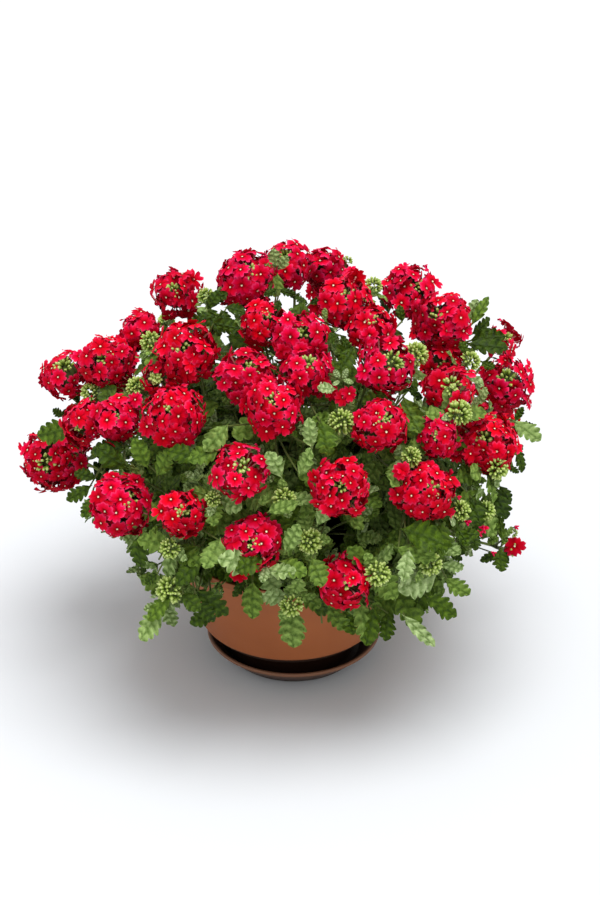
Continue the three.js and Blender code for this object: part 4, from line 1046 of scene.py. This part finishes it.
def add_young_head(bag, rng, bearers, centre, radius):
    """A cluster of green buds on its stem, with pale young leaves under it."""
    axis = face_of_mound(centre)
    count = round(26 + 3.4 * radius)
    add_buds(bag, rng, centre - axis * 0.25 * radius, axis, 1.16 * radius, count, 112, 1.0, 0.62 * radius)
    below = centre - axis * (2 * radius + 35)
    start = nearest_on(bearers, below)
    neck, foot = centre - axis * 1.6 * radius, centre - axis * 0.4 * radius
    path = curve([start, 0.5 * (start + below), neck, foot], 10)
    add_stem(bag, rng, path, (1.2, 0.95), 0.35)
    if radius < BARE_CLUSTER:
        return
    turn = rng.uniform(0, math.pi)
    for depth, lengths, youth in ((1.1, (14, 22), 0.9), (1.9, (22, 34), 0.55)):
        turn += math.pi / 2
        for half_turn in OPPOSITE:
            along = unit(around(axis, turn + half_turn) + 0.45 * axis + rng.normal(0, 0.15, 3))
            light, length = rng.uniform(0.4, 1), rng.uniform(*lengths)
            root = centre - axis * depth * radius
            add_leaf(bag, rng, SHOWN_LEAVES, root, along, axis, length, light, youth)
    for step in (3, 5, 6):
        way = unit(path[step + 1] - path[step])
        turn += math.pi / 2
        for half_turn in OPPOSITE:
            along = unit(across(around(axis, turn + half_turn), way) + 0.5 * way)
            if is_kept(path[step], path[step] + 34 * along):
                length, light, youth = rng.uniform(26, 38), rng.uniform(0.1, 0.8), rng.uniform(0, 0.4)
                face = axis + 0.4 * SKY
                add_leaf(bag, rng, INNER_LEAVES, path[step], along, face, length, light, youth)


def branch_sides(head):
    """The number of sides of a head's branch in the solids."""
    return 4 if head["radius"] < 27 else 5


def bottom_side(head):
    """The way to the first corner of a head's lowest ring, which sets how its branch is turned."""
    return around(head["axis"], head["spin"] + math.pi / branch_sides(head), SKY)


def add_upper_leaves(bag, rng, draw, head, fork, knee):
    """The two leaves high on a branch, which stand on two of its sides."""
    along = unit(knee - fork)
    root = fork + (knee - fork) * UPPER_LEAF["place"]
    sides = branch_sides(head)
    first = math.floor(draw() * sides)
    for further in (0, 2):
        turn = math.pi / sides + 2 * math.pi * ((first + further) % sides) / sides
        out = around(along, turn, bottom_side(head))
        raised = math.radians(between(UPPER_LEAF["raised"], draw()))
        length = between(UPPER_LEAF["length"], draw())
        pass_lobes(draw, UPPER_LEAF["lobes"])
        way = out * math.cos(raised) + along * math.sin(raised)
        add_own_leaf(bag, rng, root, way, along, length, (0.1, 0.8), 0.3)


def add_side_stem(bag, rng, draw, line):
    """A side stem with a pair of leaves at its bend, another at its end, and a tuft."""
    for before, here in zip(line, line[1:]):
        along = unit(here - before)
        side = across(np.cross(SKY, along), along)
        for sign in (-1, 1):
            spread = math.radians(between(SIDE_LEAF["spread"], draw()))
            length = between(SIDE_LEAF["length"], draw())
            pass_lobes(draw, SIDE_LEAF["lobes"])
            way = sign * side * math.sin(spread) + along * math.cos(spread)
            root = here - along * SIDE_LEAF["before"]
            add_own_leaf(bag, rng, root, way, face_of_mound(here) + SKY, length, (0.05, 0.7), 0.2)
    start, middle, end = line
    way = unit(end - middle)
    tip = end + way * 3
    add_stem(bag, rng, [start, middle, tip], (1.4, 1.2, 0.8), 0.4)
    add_tuft(bag, rng, tip, way, rng.uniform(0, math.pi))


def dress_shoot(name, number, heads):
    """The stems, bud clusters and leaves that the solid has, and what more the photo shows of the shoot."""
    bag = Bag()
    rng = np.random.default_rng(SEEDS["greenery"] + number)
    draw = seeded(SEEDS["shoot"] + number)
    parts = SHOOTS[name]
    root, collar, fork, knees, carried = stem_lines(heads)
    way = unit(fork - collar)
    side_lines = [side_line(collar, fork + way * BRANCH, direction) for direction in parts["sides"]]
    bearers = [(fork, knee) for knee in knees] + [(start, middle) for start, middle, _ in side_lines]
    add_stem(bag, rng, curve([root, collar, fork + way * 2], 9), (2.3, 2.3), 0.1)
    for head, knee in zip(carried, knees):
        top = head["centre"] - head["axis"] * 0.2 * head["radius"]
        path = curve([fork - unit(knee - fork), fork, 0.5 * (fork + knee), knee, top], 14)
        add_stem(bag, rng, path, (1.6, 1.25), 0.45)
    for k, spot in enumerate(parts["buds"]):
        spot = MOVED_BUDS.get((name, k), spot)
        centre = on_mound(spot, spot[3] if len(spot) > 3 else 0)
        add_young_head(bag, rng, bearers, centre, spot[2])
    for k, (x, up, towards, length, tilt, back) in enumerate(parts["leaves"]):
        pass_lobes(draw, SHOWN_LOBES)
        light, youth = rng.uniform(0.2, 0.8), rng.uniform(0.0, 0.2)
        share, breadth = 1.0, 1.0
        if (name, k) in OWN_LEAVES:
            light, share, breadth = OWN_LEAVES[name, k]
            youth = 0.0
        add_shown_leaf(bag, rng, bearers, x, up, towards, share * length, tilt, back, light, youth, breadth)
    for spot in FURTHER_LEAVES.get(name, []):
        add_shown_leaf(bag, rng, bearers, *spot)
    for spot in RED_BUDS.get(name, []):
        add_red_buds(bag, rng, bearers, *spot)
    for spot in STRAY_FLORETS.get(name, []):
        add_strays(bag, rng, bearers, *spot)
    for head, knee in zip(carried, knees):
        add_upper_leaves(bag, rng, draw, head, fork, knee)
    for line in side_lines:
        add_side_stem(bag, rng, draw, line)
    return bag


# ---------------------------------------------------------------- leafy side stems that fill the plant

FILL_STEPS = 16
FILL_STEMS = 190
SKIRT_STEMS = 46


def add_leafy_stem(bag, rng, points, pairs, longest, first=0.35, youth=0.3):
    """A side stem with pairs of leaves, and a tuft of young ones at its tip."""
    path = curve(points, FILL_STEPS)
    kept = []
    turn = rng.uniform(0, math.pi)
    shares = np.linspace(first, 0.97, pairs)
    for share in shares:
        spot = share * (FILL_STEPS - 1)
        low = min(int(spot), FILL_STEPS - 2)
        place = path[low] + (path[low + 1] - path[low]) * (spot - low)
        way = unit(path[low + 1] - path[low])
        turn += math.pi / 2 + rng.uniform(-0.3, 0.3)
        for half_turn in OPPOSITE:
            out = around(way, turn + half_turn, vec(0.2, 0.3, 1))
            raised = math.radians(rng.uniform(10, 35) + 30 * (share > 0.9))
            along = unit(out * math.cos(raised) + way * math.sin(raised) + SKY * rng.uniform(-0.1, 0.2))
            length = longest * rng.uniform(0.75, 1.05) * (0.62 + 0.6 * min(1 - share, 0.6))
            face = unit(face_of_mound(place) + 0.7 * SKY + 0.5 * way + rng.normal(0, 0.2, 3))
            if is_kept(place, place + along * length):
                light = np.clip(rng.uniform(0.1, 0.9) + 0.25 * (share - 0.5), 0, 1)
                own_youth = np.clip(youth * (share - 0.2) + rng.uniform(-0.1, 0.15), 0, 1)
                kept.append((place, along, face, length, light, own_youth))
    for leaf in kept:
        add_leaf(bag, rng, INNER_LEAVES, *leaf)
    if inside_edge(*seen_at(path[-1])):
        add_tuft(bag, rng, path[-1], unit(path[-1] - path[-2]), turn)
        add_stem(bag, rng, path, (1.3, 0.8), 0.4, sides=5)
    elif kept:
        last = max(3, int(FILL_STEPS * shares[-2]))
        add_stem(bag, rng, path[:last], (1.3, 0.9), 0.4, sides=5)


def nearest_shoot(collars, end):
    """The shoot that a side stem with this end grows from."""
    return min(collars, key=lambda name: np.linalg.norm(collars[name][:2] - ROOT_SPREAD * end[:2]))


def fill_mound(heads, collars, bags):
    """Side stems in all directions under the heads."""
    rng = np.random.default_rng(SEEDS["mound"])
    golden = math.pi * (3 - math.sqrt(5))
    for k in range(FILL_STEMS):
        high = 0.96 - 1.06 * (k + 0.5) / FILL_STEMS
        turn = golden * k + rng.uniform(-0.15, 0.15)
        flat = math.sqrt(1 - high * high)
        out = vec(flat * math.cos(turn), flat * math.sin(turn), high)
        reach = rng.uniform(0.60, 0.92) if high < 0.6 else rng.uniform(0.55, 0.8)
        end = MOUND_CENTRE + out * MOUND_REACH * reach
        if any(np.linalg.norm(end - h["centre"]) <= h["radius"] - 4 for h in heads):
            end = MOUND_CENTRE + out * MOUND_REACH * (reach - 0.16)
        name = nearest_shoot(collars, end)
        middle = collars[name] * 0.45 + end * 0.55 + vec(out[0], out[1], 0) * 6 + SKY * 10
        add_leafy_stem(bags[name], rng, [collars[name], middle, end], 5, rng.uniform(34, 46))


def fill_skirt(collars, bags):
    """Side stems that hang over the rim of the bowl all round."""
    rng = np.random.default_rng(SEEDS["skirt"])
    for k in range(SKIRT_STEMS):
        turn = 2 * math.pi * (k + rng.uniform(-0.3, 0.3)) / SKIRT_STEMS
        way = vec(math.cos(turn), math.sin(turn), 0)
        wide = rng.uniform(140, 178) + 22 * abs(way[0])
        low = rng.uniform(100, 150)
        over = way * (BOWL["rim"] + 4) + SKY * rng.uniform(150, 172)
        end = way * wide + SKY * low
        name = nearest_shoot(collars, end)
        points, longest = [collars[name], over, end], rng.uniform(38, 48)
        add_leafy_stem(bags[name], rng, points, 4, longest, first=0.5, youth=0.2)


# ---------------------------------------------------------------- bowl, saucer and soil

BOWL_FOOT = SAUCER["floor"] + GAP
BOWL_FLOOR = BOWL_FOOT + BOWL["floor"]
# The inner side of the bowl's wall, from above: (radius, height). The soil lies against it.
HOLLOW = [(88.5, 45), (84, 36.5), (60, 20)]
SOIL_RADIUS = 112.2
SOIL_SINK = 1.2


def turned_rings(profile, sides):
    """Rings of corners with the radii and heights of a profile."""
    cosines, sines = circle(sides)
    radii, heights = np.array(profile, dtype=float).T
    x, y = np.outer(radii, cosines), np.outer(radii, sines)
    return np.stack([x, y, np.repeat(heights[:, None], sides, 1)], -1).reshape(-1, 3)


def turned_piece(name, profile, material, replaced, shaded_below, painted_shade, faded, aside=0, sides=128):
    """A smooth body of revolution. Its closed profile of (radius, height) runs anticlockwise, axis on the
    left. Below a set height it takes the given share of painted shade."""
    bag = Bag()
    rings = turned_rings(profile, sides)
    tone = np.zeros((len(rings), 4))
    # Painted shade, which comes in over the 3 mm below that height.
    tone[:, 0] = painted_shade * np.clip((shaded_below - rings[:, 2]) / 3, 0, 1)
    tone[:, 1] = faded
    rings[:, 0] += aside
    bag.add(rings, [grid_faces(len(profile), sides, closed=True)], tone, material)
    bag.piece(name, [material], "plastic", replaced)


def rounded(corners, steps=5):
    """A profile whose corners (radius, height, bend radius) are rounded."""
    out = []
    for k, (r, z, bend) in enumerate(corners):
        here = np.array([r, z], dtype=float)
        if bend == 0:
            out.append(here)
            continue
        before = np.array(corners[k - 1][:2], dtype=float) - here
        after = np.array(corners[k + 1][:2], dtype=float) - here
        bend = min(bend, 0.45 * np.linalg.norm(before), 0.45 * np.linalg.norm(after))
        start, end = here + unit(before) * bend, here + unit(after) * bend
        for t in np.linspace(0, 1, steps):
            out.append((1 - t) ** 2 * start + 2 * t * (1 - t) * here + t * t * end)
    return out


def make_bowl(material):
    foot, edge, top = BOWL["foot"], BOWL["edge"], BOWL["edge_height"]
    rim, height = BOWL["rim"], BOWL["height"]
    outside = [(0.2, BOWL_FOOT + 1.5, 0), (foot - 4, BOWL_FOOT + 1.5, 1), (foot - 3, BOWL_FOOT, .8),
               (foot, BOWL_FOOT, 1), (foot + 1, BOWL["waist"], 3), (foot + 4, top - 14, 5),
               (edge - 6, top - 4, 4), (edge, top, 3), (edge + 2, top + 8, 4), (rim - 1.7, height - 8, 1),
               (rim, height - 7, 1), (rim, height, 1.2), (rim - 4.5, height, 1.2)]
    wall = [(*corner, bend) for corner, bend in zip(HOLLOW, (4, 4, 3))]
    inside = [(114.8, height - 8, 1), *wall, (foot - 3.5, BOWL_FLOOR, 2), (0.2, BOWL_FLOOR, 0)]
    # Painted shade: below its edge the bowl is darkened nearly to black.
    turned_piece("bowl_shell", rounded(outside + inside), material, ["pot"], top, 0.97, 0.0)


def make_saucer(material):
    foot, floor, rim = SAUCER["foot"], SAUCER["floor"], SAUCER["rim"]
    height, lip = SAUCER["height"], SAUCER["lip"]
    profile = [(0.2, 1.0, 0), (foot - 5, 1.0, 1), (foot - 4, 0, .8), (foot, 0, 1.5),
               (rim - 1.5, height - lip - 1, 1.5), (rim, height - lip, 1), (rim, height, 1.2),
               (rim - 3, height, 1.2), (rim - 4, height - lip, 2), (foot + 1.5, floor, 2), (0.2, floor, 0)]
    # Painted shade: below its lip the saucer is darkened nearly to black.
    turned_piece("saucer_dish", rounded(profile), material, ["saucer"], height - lip, 0.93, 0.75,
                 SAUCER["aside"])


def make_soil(material, sides=96, rings=34):
    """The soil's crumbly top on a plain filling."""
    rng = np.random.default_rng(SEEDS["soil"])
    radii = np.linspace(0, SOIL_RADIUS, rings)
    heights = SOIL_TOP - SOIL_SINK + SOIL["dome"] * (1 - radii / SOIL_RADIUS)
    top = turned_rings(np.stack([radii, heights], -1), sides)
    # The crumbs level out at the wall.
    crumbs = rng.normal(0, 0.7, (rings, sides)) * np.clip((112 - radii) / 8, 0, 1)[:, None]
    top[:, 2] += crumbs.ravel()
    bottom = BOWL_FLOOR + 0.5
    wall = [(0.1, bottom), (58.2, bottom), *[(r - GAP, z + GAP) for r, z in reversed(HOLLOW)], (111.5, 126),
            (SOIL_RADIUS, SOIL_TOP - SOIL_SINK)]
    bag = Bag()
    points = np.concatenate([turned_rings(wall, sides), top])
    bag.add(points, [grid_faces(rings + len(wall), sides, closed=True)], (0, 0, 0, 0), material)
    bag.piece("soil_bed", [material], "soil", ["soil"])


# ---------------------------------------------------------------- the plant and its pot

heads = place_heads()
first_in_node = [k for k, head in enumerate(heads) if not head["joined"]]
for number, (start, end) in enumerate(zip(first_in_node, first_in_node[1:] + [len(heads)]), 1):
    bag = Bag()
    for index in range(start, end):
        dress_head(bag, heads[index], index, np.random.default_rng(SEEDS["bloom"] + index))
    bag.piece(f"bloom_{number:02d}", BLOOM_LOOKS, "petals", [f"head_{number:02d}"])

greens, collars = {}, {}
for number, name in enumerate(SHOOTS):
    own_heads = [h for h in heads if h["shoot"] == name]
    collars[name] = stem_lines(own_heads)[1]
    greens[name] = dress_shoot(name, number, own_heads)
fill_mound(heads, collars, greens)
fill_skirt(collars, greens)
for name, bag in greens.items():
    bag.piece(f"greenery_{name}", GREEN_LOOKS, "foliage", [f"shoot_{name}"])

plastic = plastic_material()
make_bowl(plastic)
make_saucer(plastic)
make_soil(soil_material())

# ---------------------------------------------------------------- studio


def make_floor():
    """A pale floor, 30 metres square."""
    mesh = bpy.data.meshes.new("floor")
    mesh.from_pydata([(-15, -15, 0), (15, -15, 0), (15, 15, 0), (-15, 15, 0)], [], [(0, 1, 2, 3)])
    floor = bpy.data.objects.new("floor", mesh)
    bpy.context.scene.collection.objects.link(floor)
    mesh.materials.append(finished(new_material("floor_white")[0], (0.72, 0.74, 0.765), 0.9, 0.1))


def soft_light(name, way, width, strength):
    """Light from far away, from a soft patch of the sky that is width degrees wide."""
    light = bpy.data.lights.new(name, "SUN")
    light.angle = math.radians(width)
    light.energy = strength
    thing = bpy.data.objects.new(name, light)
    bpy.context.scene.collection.objects.link(thing)
    thing.rotation_euler = Vector(way).to_track_quat("Z", "Y").to_euler()


def make_studio():
    scene = bpy.context.scene
    scene.view_settings.view_transform = "Standard"
    world = bpy.data.worlds.new("studio")
    scene.world = world
    world.use_nodes = True
    background = world.node_tree.nodes["Background"]
    background.inputs["Color"].default_value = (1.0, 1.0, 1.0, 1)
    background.inputs["Strength"].default_value = 0.74
    soft_light("overhead", (0.12, -0.12, 1.0), 42, 2.3)
    soft_light("front", (0.35, -1.0, 1.35), 60, 0.1)
    # With this lens a millimetre at the distance of the origin is one pixel.
    camera = bpy.data.cameras.new("camera")
    camera.sensor_width = 36
    camera.lens = camera.sensor_width * VIEW["distance"] / PICTURE_HEIGHT
    camera.clip_end = 100
    thing = bpy.data.objects.new("camera", camera)
    scene.collection.objects.link(thing)
    thing.location = EYE * MM
    thing.rotation_euler = (math.radians(90 - VIEW["elevation"]), 0, 0)
    scene.camera = thing


make_floor()
make_studio()
